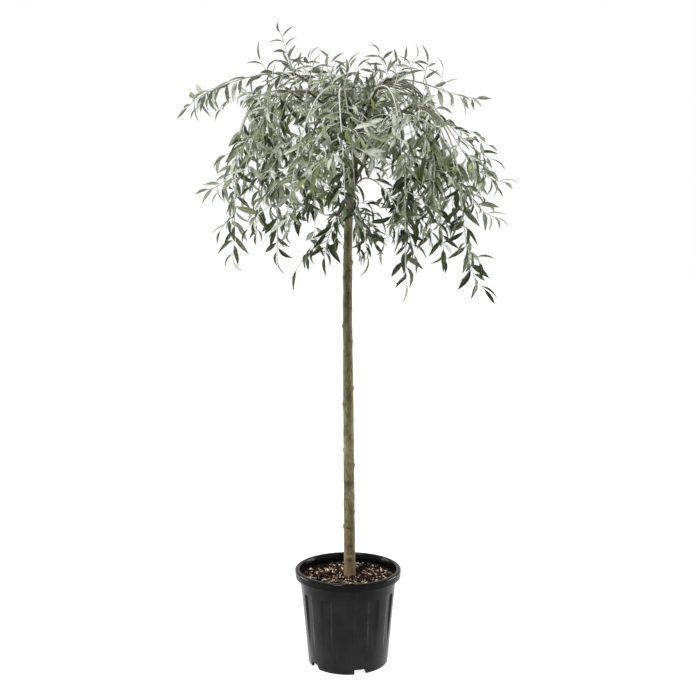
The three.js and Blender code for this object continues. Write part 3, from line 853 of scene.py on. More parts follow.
@dataclass
class Compost:
    """The root ball's crumbly top with its bark chips."""

    pot: Pot
    top: float = 222.0
    clear: float = 0.9
    lift: float = 0.3
    rings: int = 34
    sides: int = 96
    mound: float = 6.0
    mound_fall: float = 0.7
    lumps: float = 3.4
    lump_size: float = 38.0
    lump_layer: float = 2.7
    crumbs: float = 0.45
    crumb_size: float = 11.0
    crumb_layer: float = 8.1
    seed: int = 7
    margin: float = 9.0
    heights: Span = (-0.6, 4.0)
    shortness: float = 1.7
    jags: Span = (0.62, 1.12)
    slants: tuple[Span, Span, Span] = ((-0.6, 0.6), (-0.5, 0.5), (0.0, 6.28))
    chips: tuple[Chip, ...] = (
        Chip(ChipTint.BLACK, 800, (5.0, 15.0), (0.3, 0.6), (0.2, 0.45)),
        Chip(ChipTint.RUST, 450, (4.0, 12.0), (0.25, 0.5), (0.2, 0.4)),
        Chip(ChipTint.TAN, 350, (3.5, 12.0), (0.18, 0.42), (0.15, 0.35)),
        Chip(ChipTint.STRAW, 310, (4.0, 18.0), (0.09, 0.24), (0.08, 0.2)),
    )

    def rise(self, x: float, y: float) -> float:
        """The height of the crumbly top at a place."""
        broad = noise.noise(Vector((x / self.lump_size, y / self.lump_size, self.lump_layer)))
        fine = noise.noise(Vector((x / self.crumb_size, y / self.crumb_size, self.crumb_layer)))
        away = math.hypot(x, y) / self.pot.inner_radius(self.top)
        mound = self.mound * (1.0 - self.mound_fall * away**4)
        return self.top + mound + self.lumps * (broad + self.crumbs * fine)

    def bed(self) -> bpy.types.Object:
        """Makes and dresses the body of the compost."""
        floor = self.pot.base_lift + self.pot.wall
        step = self.pot.flute_top + self.pot.inner_step
        made = turned([
            Corner(0.0, floor + self.lift),
            Corner(self.pot.inner_radius(floor) - self.clear, floor + self.lift),
            Corner(self.pot.inner_radius(self.pot.flute_top) - self.clear, self.pot.flute_top),
            Corner(self.pot.inner_radius(step) - self.clear, step),
            Corner(self.pot.inner_radius(self.top) - self.clear, self.top, cuts=self.rings),
            Corner(0.0, self.top),
        ], self.sides, closed=False)
        for corner in made.verts:
            if corner.co.z > self.top - self.lift:
                corner.co.z = self.rise(corner.co.x, corner.co.y)
        return show("compost_bed", mesh_of("compost_bed", made), ["compost"],
                    [SoilFinish().material()], crease=60.0)

    def scatter(self, kind: Chip, stream: Stream) -> bpy.types.Object:
        """Strews one kind of chip over the top, each a split shard lying at its own slant.

        Args:
            kind: the chips' colour, number and sizes.
            stream: the seeded row that places them.

        Returns:
            The joined chips.
        """
        made = bmesh.new()
        for _ in range(kind.count):
            reach = (self.pot.inner_radius(self.top) - self.margin) * math.sqrt(stream.next())
            place = polar(360.0 * stream.next(), reach, 0.0)
            place.z = self.rise(place.x, place.y) + stream.between(*self.heights)
            length = lerp(*kind.length, stream.next() ** self.shortness)
            sizes = [length, *(length * stream.between(*share) for share in (kind.width, kind.thickness))]
            shard = bmesh.ops.create_cube(made, size=1.0)["verts"]
            for corner in shard:
                pairs = zip(corner.co, Vector(sizes))
                corner.co = Vector(side * size * stream.between(*self.jags) for side, size in pairs)
            turn = Euler([stream.between(*slant) for slant in self.slants]).to_matrix()
            bmesh.ops.rotate(made, matrix=turn, verts=shard)
            bmesh.ops.translate(made, vec=place, verts=shard)
        name = f"chips_{kind.tint.value}"
        finish = CHIP_FINISHES[kind.tint]
        return show(name, mesh_of(name, made), [], [finish.material()], crease=25.0)

    def build(self) -> None:
        """Makes the bed and its chips."""
        self.bed()
        stream = Stream(self.seed)
        for kind in self.chips:
            self.scatter(kind, stream)


@dataclass(frozen=True)
class Stray:
    """How far the trunk's middle line strays to the side at a share of its height."""

    rise: float
    x: float
    y: float


@dataclass(frozen=True)
class Ripple:
    """One layer of the bark's relief: its depth, how often it goes round, and its length along the stem."""

    depth: float
    round: float
    length: float

    def at(self, out: Vector, height: float) -> float:
        """The layer's pattern in a direction from the middle and at a height, from -1 to 1."""
        return noise.noise(Vector((out.x * self.round, out.y * self.round, height / self.length)))


@dataclass
class Trunk:
    """The straight stem, with its flare on the compost, its taper and its bud scars."""

    foot: float = 222.3
    tip: float = 1390.0
    radius_foot: float = 15.0
    radius_tip: float = 8.8
    taper: float = 1.6
    flare: float = 4.5
    flare_height: float = 14.0
    scars: int = 26
    scar_span: Span = (0.05, 0.92)
    scar_stand: float = 3.0
    scar_spread: float = 5.5
    scar_reach: float = 24.0
    scar_squat: float = 1.3
    notch_depth: float = 0.9
    notch_above: float = 6.5
    notch_squat: float = 6.0
    lump: Ripple = Ripple(0.7, 0.7, 34.0)
    furrow: Ripple = Ripple(0.55, 4.2, 30.0)
    furrow_width: float = 0.22
    grain: Ripple = Ripple(0.16, 9.0, 9.0)
    sides: int = 44
    steps: int = 560
    strays: tuple[Stray, ...] = (
        Stray(0.0, 5.0, 0.0), Stray(0.3, 2.0, 2.0), Stray(0.68, -1.0, -1.0), Stray(0.82, 3.0, 2.0),
        Stray(1.0, 28.0, 8.0),
    )
    path: Path = field(init=False)

    def __post_init__(self) -> None:
        """Draws the middle line."""
        self.path = Path.through([Vector((s.x, s.y, lerp(self.foot, self.tip, s.rise))) for s in self.strays])

    def share(self, height: float) -> float:
        """The share of the trunk's length at a height."""
        return (height - self.foot) / (self.tip - self.foot)

    def middle(self, height: float) -> Vector:
        """The trunk's middle at a height."""
        return self.path.point(self.share(height))

    def radius(self, share: float) -> float:
        """The even radius at a share of the length."""
        flare = self.flare * math.exp(-share * (self.tip - self.foot) / self.flare_height)
        return lerp(self.radius_foot, self.radius_tip, share**self.taper) + flare

    def scar_places(self) -> list[tuple[float, Vector]]:
        """The bud scars that wind up the stem, as their heights and directions."""
        marks = []
        for i in range(self.scars):
            share = lerp(*self.scar_span, i / (self.scars - 1))
            out = polar(math.degrees(i * GOLDEN_ANGLE) - 90.0, 1.0, 0.0)
            marks.append((self.path.point(share).z, out))
        return marks

    def build(self) -> bpy.types.Object:
        """Makes the stem with the relief of its bark, and dresses it."""
        marks = self.scar_places()

        def relief(share: float, skin: Vector) -> float:
            """The radius with lumps, furrows along the stem and raised scars."""
            middle = self.path.point(share)
            out = (skin - middle).normalized()
            radius = self.radius(share)
            for height, way in marks:
                above = skin.z - height
                if abs(above) < self.scar_reach:
                    aside = radius * way.angle(Vector((out.x, out.y, 0.0)))
                    spread = 2.0 * self.scar_spread**2
                    radius += self.scar_stand * math.exp(-(above**2 * self.scar_squat + aside**2) / spread)
                    upper = (above - self.notch_above) ** 2 * self.notch_squat
                    radius -= self.notch_depth * math.exp(-(upper + aside**2) / spread)
            width = self.furrow_width
            crack = max(0.0, width - abs(self.furrow.at(out, skin.z)))
            radius += self.lump.depth * self.lump.at(out, skin.z)
            return radius - self.furrow.depth * crack / width + self.grain.depth * self.grain.at(out, skin.z)

        made = bmesh.new()
        sweep(made, self.path, relief, self.sides, self.steps)
        low = [corner for corner in made.verts if corner.co.z < self.foot]
        for corner in low:
            corner.co.z = self.foot
        bmesh.ops.recalc_face_normals(made, faces=made.faces)
        return show("trunk_bark", mesh_of("trunk_bark", made), ["trunk"],
                    [TRUNK_BARK.material()], crease=50.0)


@dataclass(frozen=True)
class Crest:
    """An upright twig on the arch of a shoot: where it stands, how it leans to +X and +Y, and its length."""

    share: float
    lean_x: float
    lean_y: float
    length: float


@dataclass(frozen=True)
class Shoot:
    """A hanging shoot: where its tip is, how far its end turns outward, how bushy it is, its upright twigs,
    and the share of its length that is bare of leaves."""

    name: str
    bearing: float
    reach: float
    tip: float
    flick: float = 0.0
    bush: float = 1.0
    crests: tuple[Crest, ...] = ()
    bare: float = 0.16


@dataclass(frozen=True)
class Bough:
    """A limb that leaves the trunk at a height and bearing and arches to a reach and a top."""

    name: str
    foot: float
    bearing: float
    reach: float
    top: float
    shoots: tuple[Shoot, ...]


@dataclass(frozen=True)
class TrunkShoot:
    """A shoot that springs from the trunk itself, inside the crown or on its top."""

    name: str
    foot: float
    bearing: float
    reach: float
    tip: float
    bush: float = 1.0
    crests: tuple[Crest, ...] = ()
    bare: float = 0.16


@dataclass(frozen=True)
class SkyGap:
    """An opening in the crown as the front shows it: its middle and half sizes across and up, and how far
    back it goes. One that ends before a bough bares the bough's arch."""

    x: float
    z: float
    wide: float
    high: float
    back: float = math.inf

    def covers(self, seen: Vector) -> bool:
        """Whether a place, as seen from the front, is within the opening."""
        return ((seen.x - self.x) / self.wide) ** 2 + ((seen.z - self.z) / self.high) ** 2 < 1.0


BOUGHS = (
    Bough("left_top", 1338, 165, 140, 1532, (
        Shoot("left_high", 172, 452, 1418, 0.1, 0.15,
              (Crest(0.02, -0.3, -0.35, 104), Crest(0.24, -0.5, -0.2, 36)), 0.1),
        Shoot("left_behind", 157, 322, 1325, 0.0, 0.6, (Crest(0.1, 0.2, 0.35, 50),)),
        Shoot("left_inner", 163, 225, 1190, 0.0, 0.7))),
    Bough("left", 1274, 190, 150, 1478, (
        Shoot("left_low", 179, 402, 1230, 1.0, 0.0, (Crest(0.1, -0.2, 0.3, 40),), 0.25),
        Shoot("left_mid", 205, 300, 1318, 0.0, 0.3, (Crest(0.1, 0.1, -0.3, 44),)),
        Shoot("left_hang", 191, 298, 1014, 0.0, 0.15))),
    Bough("front_left", 1314, 227, 140, 1466, (
        Shoot("front_left_out", 221, 330, 1215, 0.0, 1.0, (Crest(0.1, -0.25, 0.2, 46),)),
        Shoot("front_left_inner", 243, 175, 1120, 0.0, 1.0, (Crest(0.1, 0.25, -0.2, 54),)),
        Shoot("front_left", 232, 275, 1020, 0.0, 0.8))),
    Bough("front", 1366, 262, 100, 1474, (
        Shoot("front_long", 247, 362, 1085, 0.0, 1.0, (Crest(0.1, -0.3, 0.1, 46),), 0.52),
        Shoot("front_inner", 275, 230, 1100, 0.0, 1.0, (Crest(0.1, 0.3, 0.1, 46),)),
        Shoot("front_hang", 269, 378, 1140, 0.0, 1.0, (), 0.42))),
    Bough("front_right", 1268, 309, 115, 1478, (
        Shoot("front_right_out", 293, 322, 1222, 0.0, 1.0, (Crest(0.1, -0.25, -0.2, 46),), 0.52),
        Shoot("right_front", 321, 300, 1016, 0.0, 1.0, (Crest(0.1, 0.25, 0.2, 50),)),
        Shoot("front_right", 298, 290, 964))),
    Bough("right", 1238, 346, 160, 1440, (
        Shoot("right_mid", 355, 440, 1248, 1.0, 0.7, (Crest(0.1, 0.1, 0.3, 44),), 0.3),
        Shoot("right_inner", 318, 190, 1130, 0.0, 1.0, (Crest(0.1, -0.1, -0.3, 44),)),
        Shoot("right_hang", 349, 390, 963, 0.9, 0.15, (), 0.3))),
    Bough("right_top", 1350, 22, 108, 1520, (
        Shoot("right_high", 19, 404, 1478, 0.7, 0.0,
              (Crest(0.02, -0.3, 0.3, 74), Crest(0.18, 0.6, 0.2, 66), Crest(0.4, 0.2, -0.2, 50),
               Crest(0.6, 0.1, 0.1, 42)), 0.2),
        Shoot("right_low", 3, 438, 1156, 1.0, 0.8, (Crest(0.08, 0.1, -0.3, 44),), 0.3),
        Shoot("right_top_inner", 12, 225, 1060, 0.0, 0.7))),
    Bough("back_right", 1256, 52, 150, 1524, (
        Shoot("right_behind", 15, 440, 1308, 0.7, 0.6, (Crest(0.08, 0.15, -0.2, 50),), 0.25),
        Shoot("back_right", 58, 395, 1155, 0.0, 0.85, (Crest(0.1, -0.15, 0.25, 50),)),
        Shoot("right_back_hang", 22, 314, 1105, 0.0, 0.6))),
    Bough("back", 1300, 97, 135, 1538, (
        Shoot("back_high", 84, 405, 1335, 0.0, 0.85, (Crest(0.08, 0.3, 0.1, 40),)),
        Shoot("back_hang", 106, 360, 1065, 0.0, 1.0, (Crest(0.08, -0.3, 0.1, 60),)))),
    Bough("back_left", 1226, 136, 150, 1538, (
        Shoot("back_left", 123, 405, 1250, 0.0, 0.85,
              (Crest(0.08, 0.3, 0.25, 50), Crest(0.22, 0.3, 0.2, 50))),
        Shoot("back_left_hang", 141, 330, 1080, 0.0, 0.85, (Crest(0.08, -0.3, -0.25, 46),)))),
)
TRUNK_SHOOTS = (
    TrunkShoot("inner_left", 1150, 237, 118, 1024, 0.2), TrunkShoot("inner_right", 1168, 293, 132, 1026, 0.3),
    TrunkShoot("inner_back", 1186, 80, 140, 1068, 1.0), TrunkShoot("under_left", 1212, 213, 195, 1084, 0.3),
    TrunkShoot("under_right", 1240, 322, 215, 1030, 0.6),
    TrunkShoot("leader_left", 1380, 188, 110, 1500, 1.0, (Crest(0.7, -0.2, -0.4, 44),)),
    TrunkShoot("leader_front", 1380, 285, 120, 1490, 1.0, (Crest(0.7, 0.3, 0.2, 44),)),
    TrunkShoot("leader_right", 1380, 345, 135, 1500, 1.0, (Crest(0.7, 0.1, -0.4, 44),)),
    TrunkShoot("leader_back", 1380, 73, 140, 1500, 1.0, (Crest(0.7, 0.3, 0.2, 44),)),
)
SKY_GAPS = (
    SkyGap(163, 1381, 30, 13), SkyGap(72, 1243, 26, 24), SkyGap(108, 1066, 15, 54),
    SkyGap(-134, 1088, 18, 46), SkyGap(-84, 1148, 24, 16), SkyGap(-292, 1412, 42, 34),
    SkyGap(0, 1072, 17, 88), SkyGap(268, 1430, 30, 14),
    SkyGap(300, 1336, 22, 16), SkyGap(256, 1376, 30, 22), SkyGap(-8, 1469, 35, 20, -50),
    SkyGap(85, 1505, 48, 16, 30),
)


@dataclass
class Boughs:
    """The limbs that carry the crown."""

    trunk: Trunk
    radius_foot: float = 5.4
    radius_tip: float = 2.7
    steepness: float = 0.62
    collar: float = 2.4
    collar_length: float = 0.09
    end_length: float = 0.035
    end_blunt: float = 0.05
    lump_depth: float = 0.5
    lump_length: float = 15.0
    grain_depth: float = 0.2
    grain_length: float = 4.0
    sides: int = 14
    steps: int = 64

    def path(self, bough: Bough) -> Path:
        """The arch of one bough."""
        foot = self.trunk.middle(bough.foot)
        tip = polar(bough.bearing, bough.reach, bough.top)
        rise = foot.lerp(tip, 0.5)
        rise.z = lerp(foot.z, tip.z, 0.5 + self.steepness / 2.0)
        return Path.arch(foot, rise, tip)

    def radius(self, share: float) -> float:
        """The even radius at a share of the length."""
        return lerp(self.radius_foot, self.radius_tip, share)

    def relief(self, share: float, skin: Vector) -> float:
        """The radius with a collar at the foot, a rounded end and the lumps of the bark."""
        end = math.sqrt(max(self.end_blunt, min(1.0, (1.0 - share) / self.end_length)))
        lump = self.lump_depth * noise.noise(skin / self.lump_length)
        grain = self.grain_depth * noise.noise(skin / self.grain_length)
        collar = self.collar * math.exp(-share / self.collar_length)
        return (self.radius(share) + collar + lump + grain) * end

    def build(self) -> bpy.types.Object:
        """Makes and dresses the boughs."""
        made = bmesh.new()
        for bough in BOUGHS:
            sweep(made, self.path(bough), self.relief, self.sides, self.steps)
        bmesh.ops.recalc_face_normals(made, faces=made.faces)
        nodes = [f"bough_{bough.name}" for bough in BOUGHS]
        return show("bough_bark", mesh_of("bough_bark", made), nodes,
                    [BOUGH_BARK.material()], crease=50.0)


class StemMesh:
    """Thin round stems, gathered into one joined mesh."""

    TAPER = 0.8

    def __init__(self) -> None:
        """Starts with no stems."""
        self.places: list[np.ndarray] = []
        self.faces: list[list[int]] = []
        self.ages: list[np.ndarray] = []
        self.count = 0

    def add(self, path: Path, radii: Span, sides: int, steps: int, ages: Span) -> None:
        """Adds one tapering stem, closed at both ends.

        Args:
            path: its middle line.
            radii: the radius where it starts and where it ends.
            sides: how many faces go round.
            steps: how many faces go along.
            ages: how young it is at its foot and at its tip, from 0 to 1.
        """
        turns = np.arange(sides) * 2.0 * math.pi / sides
        rings = []
        for row, (middle, across, over) in enumerate(path.frames(steps)):
            radius = lerp(*radii, (row / steps) ** self.TAPER)
            circle = np.outer(np.cos(turns), across) + np.outer(np.sin(turns), over)
            rings.append(np.array(middle) + radius * circle)
        self.places += [np.concatenate(rings), path.at(np.array([0.0, 1.0]))]
        shares = np.repeat(np.linspace(0.0, 1.0, steps + 1), sides)
        self.ages.append(np.concatenate([shares, [0.0, 1.0]]) * (ages[1] - ages[0]) + ages[0])
        base, foot = self.count, self.count + sides * (steps + 1)
        for side in range(sides):
            other = (side + 1) % sides
            for row in range(steps):
                low, high = base + row * sides, base + (row + 1) * sides
                self.faces.append([low + side, low + other, high + other, high + side])
            self.faces.append([foot, base + other, base + side])
            last = base + steps * sides
            self.faces.append([foot + 1, last + side, last + other])
        self.count = foot + 2

    def mesh(self, name: str) -> bpy.types.Mesh:
        """The joined mesh, with the age of every point."""
        made = bpy.data.meshes.new(name)
        made.from_pydata(np.concatenate(self.places) * MM, [], self.faces)
        age = made.attributes.new("age", "FLOAT", "POINT")
        age.data.foreach_set("value", np.concatenate(self.ages).astype(np.float32))
        return made


@dataclass
class Leaf:
    """One leaf: its root, its directions along, across and out of its face, and its shape."""

    root: Vector
    along: Vector
    across: Vector
    face: Vector
    length: float
    width: float
    curl: float
    fold: float
    twist: float
    sickle: float

    def point(self, share: float) -> Vector:
        """The place at a share of its straight length."""
        return self.root + self.along * share * self.length


class LeafMesh:
    """Leaves of one colour, gathered into one joined mesh.

    Each blade is a thin lens: a folded face with a midrib, and a back. It is widest before its middle,
    narrows into a short stalk, and its tip bends over.
    """

    SHARES = np.array([0.09, 0.25, 0.43, 0.64, 0.85])
    WIDTHS = np.array([0.12, 0.74, 1.0, 0.82, 0.38])
    THICKNESS = np.array([1.3, 1.2, 1.0, 0.8, 0.6])
    BLADE = 0.55
    UNTWISTED = 0.2

    def __init__(self) -> None:
        """Starts with no leaves."""
        self.leaves: list[Leaf] = []

    @classmethod
    def faces(cls) -> tuple[list[list[int]], list[int]]:
        """The corners of each face of one blade, and whether it is on the face or the back."""
        count = len(cls.SHARES)
        root, tip = 0, 4 * count + 1
        left, top, right, back = (range(1 + k * count, 1 + (k + 1) * count) for k in range(4))
        front, rear = [], []
        for a, b in zip(range(count), range(1, count)):
            front += [[top[a], top[b], left[b], left[a]], [right[a], right[b], top[b], top[a]]]
            rear += [[left[a], left[b], back[b], back[a]], [back[a], back[b], right[b], right[a]]]
        front += [[root, top[0], left[0]], [root, right[0], top[0]]]
        front += [[tip, left[-1], top[-1]], [tip, top[-1], right[-1]]]
        rear += [[root, left[0], back[0]], [root, back[0], right[0]]]
        rear += [[tip, back[-1], left[-1]], [tip, right[-1], back[-1]]]
        return front + rear, [0] * len(front) + [1] * len(rear)

    def places(self) -> np.ndarray:
        """The corners of every blade, one blade after another."""
        def column(name: str) -> np.ndarray:
            """One number of every leaf."""
            return np.array([getattr(leaf, name) for leaf in self.leaves])[:, None]

        shares = np.concatenate([[0.0], self.SHARES, [1.0]])[None, :]
        curl, twist = column("curl"), column("twist") * (shares - self.UNTWISTED)
        dip, rest = np.sin(curl * shares), np.cos(curl * shares)
        tilt, flat = np.sin(twist), np.cos(twist)
        aside = column("sickle") * shares**2
        middle = np.stack([dip / curl, aside, -(1.0 - rest) / curl], axis=-1)
        across = np.stack([dip * tilt, flat, rest * tilt], axis=-1)
        out = np.stack([dip * flat, -tilt, rest * flat], axis=-1)
        inner = slice(1, -1)
        half = (0.5 * column("width") * self.WIDTHS)[:, :, None]
        lift = column("fold")[:, :, None] * half * out[:, inner]
        thick = (self.BLADE * self.THICKNESS / column("length"))[:, :, None]
        left = middle[:, inner] + half * across[:, inner] + lift
        right = middle[:, inner] - half * across[:, inner] + lift
        back = middle[:, inner] - thick * out[:, inner]
        blade = [middle[:, :1], left, middle[:, inner], right, back, middle[:, -1:]]
        local = np.concatenate(blade, axis=1) * column("length")[:, :, None]
        axes = np.array([[leaf.along, leaf.across, leaf.face] for leaf in self.leaves])
        roots = np.array([leaf.root for leaf in self.leaves])[:, None, :]
        return (roots + local @ axes).reshape(-1, 3)

    def mesh(self, name: str) -> bpy.types.Mesh:
        """The joined mesh, with every blade laid out alike on its map."""
        corners, sides = self.faces()
        count = 4 * len(self.SHARES) + 2
        bases = range(0, count * len(self.leaves), count)
        faces = [[base + corner for corner in face] for base in bases for face in corners]
        made = bpy.data.meshes.new(name)
        made.from_pydata(self.places() * MM, [], faces)
        made.polygons.foreach_set("material_index", np.tile(sides, len(self.leaves)).astype(np.int32))
        across = np.concatenate([[0.5], np.repeat([1.0, 0.5, 0.0, 0.5], len(self.SHARES)), [0.5]])
        along = np.concatenate([[0.0], np.tile(self.SHARES, 4), [1.0]])
        spots = np.array([corner for face in corners for corner in face])
        layout = np.tile(np.stack([across[spots], along[spots]], axis=-1), (len(self.leaves), 1))
        made.uv_layers.new(name="blade").data.foreach_set("uv", layout.astype(np.float32).ravel())
        return made


@dataclass(frozen=True)
class Leafing:
    """How leaves sit on one kind of stem.

    It has their spacing, how they crowd to the tip, how far their faces roll, their width, the size of
    those at the tip, and whether they stand in two ranks on an upright stem.
    """

    spacing: float = 1.0
    crowding: float = 0.85
    roll: float = 1.3
    width: float = 1.0
    tip_size: float = 0.8
    two_ranked: bool = False


TWIG_LEAFING = Leafing()
SHOOT_LEAFING = Leafing(spacing=0.5)
CREST_LEAFING = Leafing(spacing=0.58, crowding=0.6, roll=0.4, width=0.85, tip_size=1.0, two_ranked=True)


@dataclass(frozen=True)
class LeafHabit:
    """The size of the leaves, the ways they lean, and the spans that they vary in."""

    length: float = 55.0
    fine_share: float = 0.88
    spur_share: float = 0.9
    crest_length: float = 46.0
    lengths: Span = (0.8, 1.18)
    trims: Triple = (1.0, 0.75, 0.55)
    tip_run: float = 45.0
    low_share: float = 0.16
    low_from: float = 1160.0
    low_run: float = 120.0
    width: float = 0.212
    widths: Span = (0.82, 1.2)
    curls: Span = (0.3, 1.25)
    folds: Span = (0.2, 0.75)
    twists: Span = (-0.7, 0.7)
    sickles: Span = (-0.12, 0.12)
    spacing: float = 27.0
    last_share: float = 0.99
    sunk: float = 0.6
    outward: float = 0.8
    forward: Span = (0.45, 0.95)
    aside: Span = (0.65, 1.15)
    last_aside: float = 0.15
    rank_sway: float = 0.15
    droop: float = 0.55
    droops: Span = (0.3, 1.5)
    level_droop: float = 1.3
    upright: float = 0.05


@dataclass(frozen=True)
class Daylight:
    """How open the crown is to the sky, which decides the colours of its leaves as painted light and shade:
    paler silver where the sky lights them, darker and greener where the crown shades them.
    """

    reach: float = 420.0
    skirt: float = 1000.0
    skirt_run: float = 350.0
    crest: float = 1530.0
    crest_run: float = 300.0
    # painted shade on the lee side: low on the right, away from the lamp, sprays count as less open and get
    # darker colours
    lee_shade: Span = (0.5, 0.3)
    lee_shade_run: float = 200.0
    read_at: float = 0.6
    sprays: Span = (-0.2, 0.2)
    leaves: Span = (-0.25, 0.25)
    silver_from: float = 0.8
    sage_from: float = 0.52
    olive_share: float = 0.35
    young_share: float = 0.07
    young_leaves: int = 3

    def openness(self, place: Vector) -> float:
        """How open to the sky a spray is, from 0 deep inside the crown to 1 outside and on the crest. Low
        down it counts as less open, most of all on the right, away from the lamp, which gives those leaves
        darker painted shade.
        """
        # painted lee shade: the right side, away from the lamp, counts as less open low down
        lee = lerp(*self.lee_shade, smooth(place.x / self.lee_shade_run))
        clear = lerp(lee, 1.0, smooth((place.z - self.skirt) / self.skirt_run))
        outward = math.hypot(place.x, place.y) / self.reach * clear
        return max(outward, 1.0 - (self.crest - place.z) / self.crest_run)

    def tint_of(self, light: float, stream: Stream) -> Tint:
        """The colour of a leaf, as painted light and shade: a paler silver in the open, and darker, greener
        shade colours inside.

        Args:
            light: how open the leaf is to the sky.
            stream: the seeded row that deals the colours out.

        Returns:
            The leaf's colour.
        """
        if light > self.silver_from:
            return Tint.SILVER
        if light > self.sage_from:
            return Tint.SAGE
        return Tint.OLIVE if stream.next() < self.olive_share else Tint.SHADE


@dataclass(frozen=True)
class Sprouts:
    """A round of side twigs: its number of places along a stem, where in its place each twig sits, how far
    it may stray, how far the round is set back, and the twigs' length."""

    tries: int
    start: float
    stray: float
    back: float
    length: float

    def place(self, number: int, chance: float) -> float:
        """Where among the twigs one of them is, from 0 to 1."""
        return (number + self.start + self.stray * chance) / self.tries - self.back

    def kept(self, bush: float) -> range:
        """The numbers of the outer twigs, which a thin shoot keeps."""
        return range(self.tries - math.ceil(bush * self.tries), self.tries)


@dataclass
class Twig:
    """A grown stem: its middle line, its radii, the length of its leaves and how they sit."""

    path: Path
    radii: Span
    leaf: float
    leafing: Leafing = TWIG_LEAFING


@dataclass
class Crown:
    """The hanging shoots with their twigs and leaves, grown on from the boughs."""

    trunk: Trunk
    boughs: Boughs
    habit: LeafHabit = LeafHabit()
    daylight: Daylight = Daylight()
    shoot_radii: Span = (2.5, 0.85)
    twig_radii: Span = (1.25, 0.7)
    fine_radii: Span = (0.9, 0.6)
    shoot_mesh: tuple[int, int] = (7, 36)
    twig_mesh: tuple[int, int] = (5, 8)
    felted_from: float = 0.34
    felted_ages: Span = (0.55, 1.0)
    shoot_ages: Span = (0.0, 1.0)
    twig_ages: Span = (0.45, 1.0)
    spur_ages: Span = (0.3, 1.0)
    seat: float = 2.0
    seat_turn: float = 60.0
    seat_sunk: float = 1.6
    seat_rise: float = 0.25
    seat_outward: float = 0.6
    trunk_rise: float = 1.6
    pull: Span = (0.12, 0.45)
    hang: Span = (0.46, 0.08)
    spring: float = 0.34
    last_leaf: float = 46.0
    main_twigs: Sprouts = Sprouts(6, 0.2, 0.6, 0.0, 112.0)
    between_twigs: Sprouts = Sprouts(3, 0.7, 0.6, 0.3, 84.0)
    fine_length: float = 52.0
    fine_from: float = 0.1
    fine_stray: float = 0.5
    twigs_from: float = 0.24
    twigs_to: float = 0.76
    twig_points: int = 3
    twig_droop: float = 0.34
    crest_droop: float = 0.05
    twig_spread: float = 0.95
    twig_varies: Span = (0.75, 1.25)
    twig_lift: Span = (0.15, 0.65)
    twig_longest: float = 1.15
    twig_shorten: float = 0.5
    twig_bare: float = 0.2
    spurs: int = 10
    spur_span: Span = (0.35, 0.97)
    spur_stray: float = 0.6
    spur_length: float = 56.0
    spur_varies: Span = (0.7, 1.3)
    spur_forward: float = 0.7
    spur_lift: float = 0.1
    spur_bare: float = 0.3
    twig_seed: int = 40
    finer_seed: int = 1040
    leaf_seed: int = 2040
    spur_seed: int = 3040
    spur_leaf_seed: int = 4040
    limb_clear: float = 2.0
    trunk_marks: int = 91
    bough_marks: int = 31
    over: float = 9.0
    eye: Vector = field(default_factory=lambda: Vector((0.0, -2600.0, 1097.0)))
    stems: StemMesh = field(default_factory=StemMesh)
    leaves: dict[Tint, LeafMesh] = field(default_factory=lambda: {tint: LeafMesh() for tint in Tint})
    limbs: np.ndarray = field(init=False)
    limb_radii: np.ndarray = field(init=False)

    def __post_init__(self) -> None:
        """Notes places along the trunk and the boughs, which the leaves stay clear of."""
        shares = np.linspace(0.0, 1.0, self.trunk_marks)
        fine = np.linspace(0.0, 1.0, self.bough_marks)
        rows = [self.trunk.path.at(shares)] + [self.boughs.path(bough).at(fine) for bough in BOUGHS]
        radii = [[self.trunk.radius(share) for share in shares]]
        radii += [[self.boughs.radius(share) for share in fine] for _ in BOUGHS]
        self.limbs = np.concatenate(rows)
        self.limb_radii = np.concatenate(radii)

    def shoot_path(self, start: Vector, heading: Vector, tip: Vector, flick: float) -> Path:
        """The arch of a shoot from its seat over to its tip.

        Args:
            start: where it springs from.
            heading: the way it springs.
            tip: where its last leaf ends.
            flick: how far its end turns outward, from 0 to 1.

        Returns:
            Its middle line.
        """
        drop = max(0.0, start.z - tip.z)
        span = (tip - start).length
        back = Vector((start.x - tip.x, start.y - tip.y, 0.0)) * lerp(*self.pull, flick)
        back += UP * lerp(*self.hang, flick) * drop
        end = tip + back.normalized() * self.last_leaf
        return Path.arch(start, start + heading * self.spring * span, end + back, end)

    def bough_shoots(self, bough: Bough) -> list[Path]:
        """The middle lines of the shoots of one bough."""
        path = self.boughs.path(bough)
        heading = path.way(1.0)
        across = UP.cross(heading).normalized()
        over = heading.cross(across)
        first, second = bough.shoots[:2]
        handed = math.copysign(1.0, math.sin(math.radians(first.bearing - second.bearing)))
        side = math.radians(handed * self.seat_turn)
        seats = ((side, self.seat_rise), (-side, self.seat_rise), (math.pi, 0.0))
        grown = []
        for shoot, (turn, rise) in zip(bough.shoots, seats):
            tip = polar(shoot.bearing, shoot.reach, shoot.tip)
            start = path.point(1.0) - heading * self.seat_sunk
            start += (across * math.sin(turn) + over * math.cos(turn)) * self.seat
            outward = Vector((tip.x - start.x, tip.y - start.y, 0.0)).normalized()
            away = Vector((heading.x, heading.y, rise)).lerp(outward, self.seat_outward).normalized()
            grown.append(self.shoot_path(start, away, tip, shoot.flick))
        return grown

    def trunk_shoot(self, shoot: TrunkShoot) -> Path:
        """The middle line of a shoot that springs from the trunk."""
        outward = polar(shoot.bearing, 1.0, 0.0)
        skin = self.trunk.radius(self.trunk.share(shoot.foot))
        start = self.trunk.middle(shoot.foot) + outward * (skin - self.seat_sunk)
        rising = Vector((outward.x, outward.y, self.trunk_rise)).normalized()
        return self.shoot_path(start, rising, polar(shoot.bearing, shoot.reach, shoot.tip), 0.0)

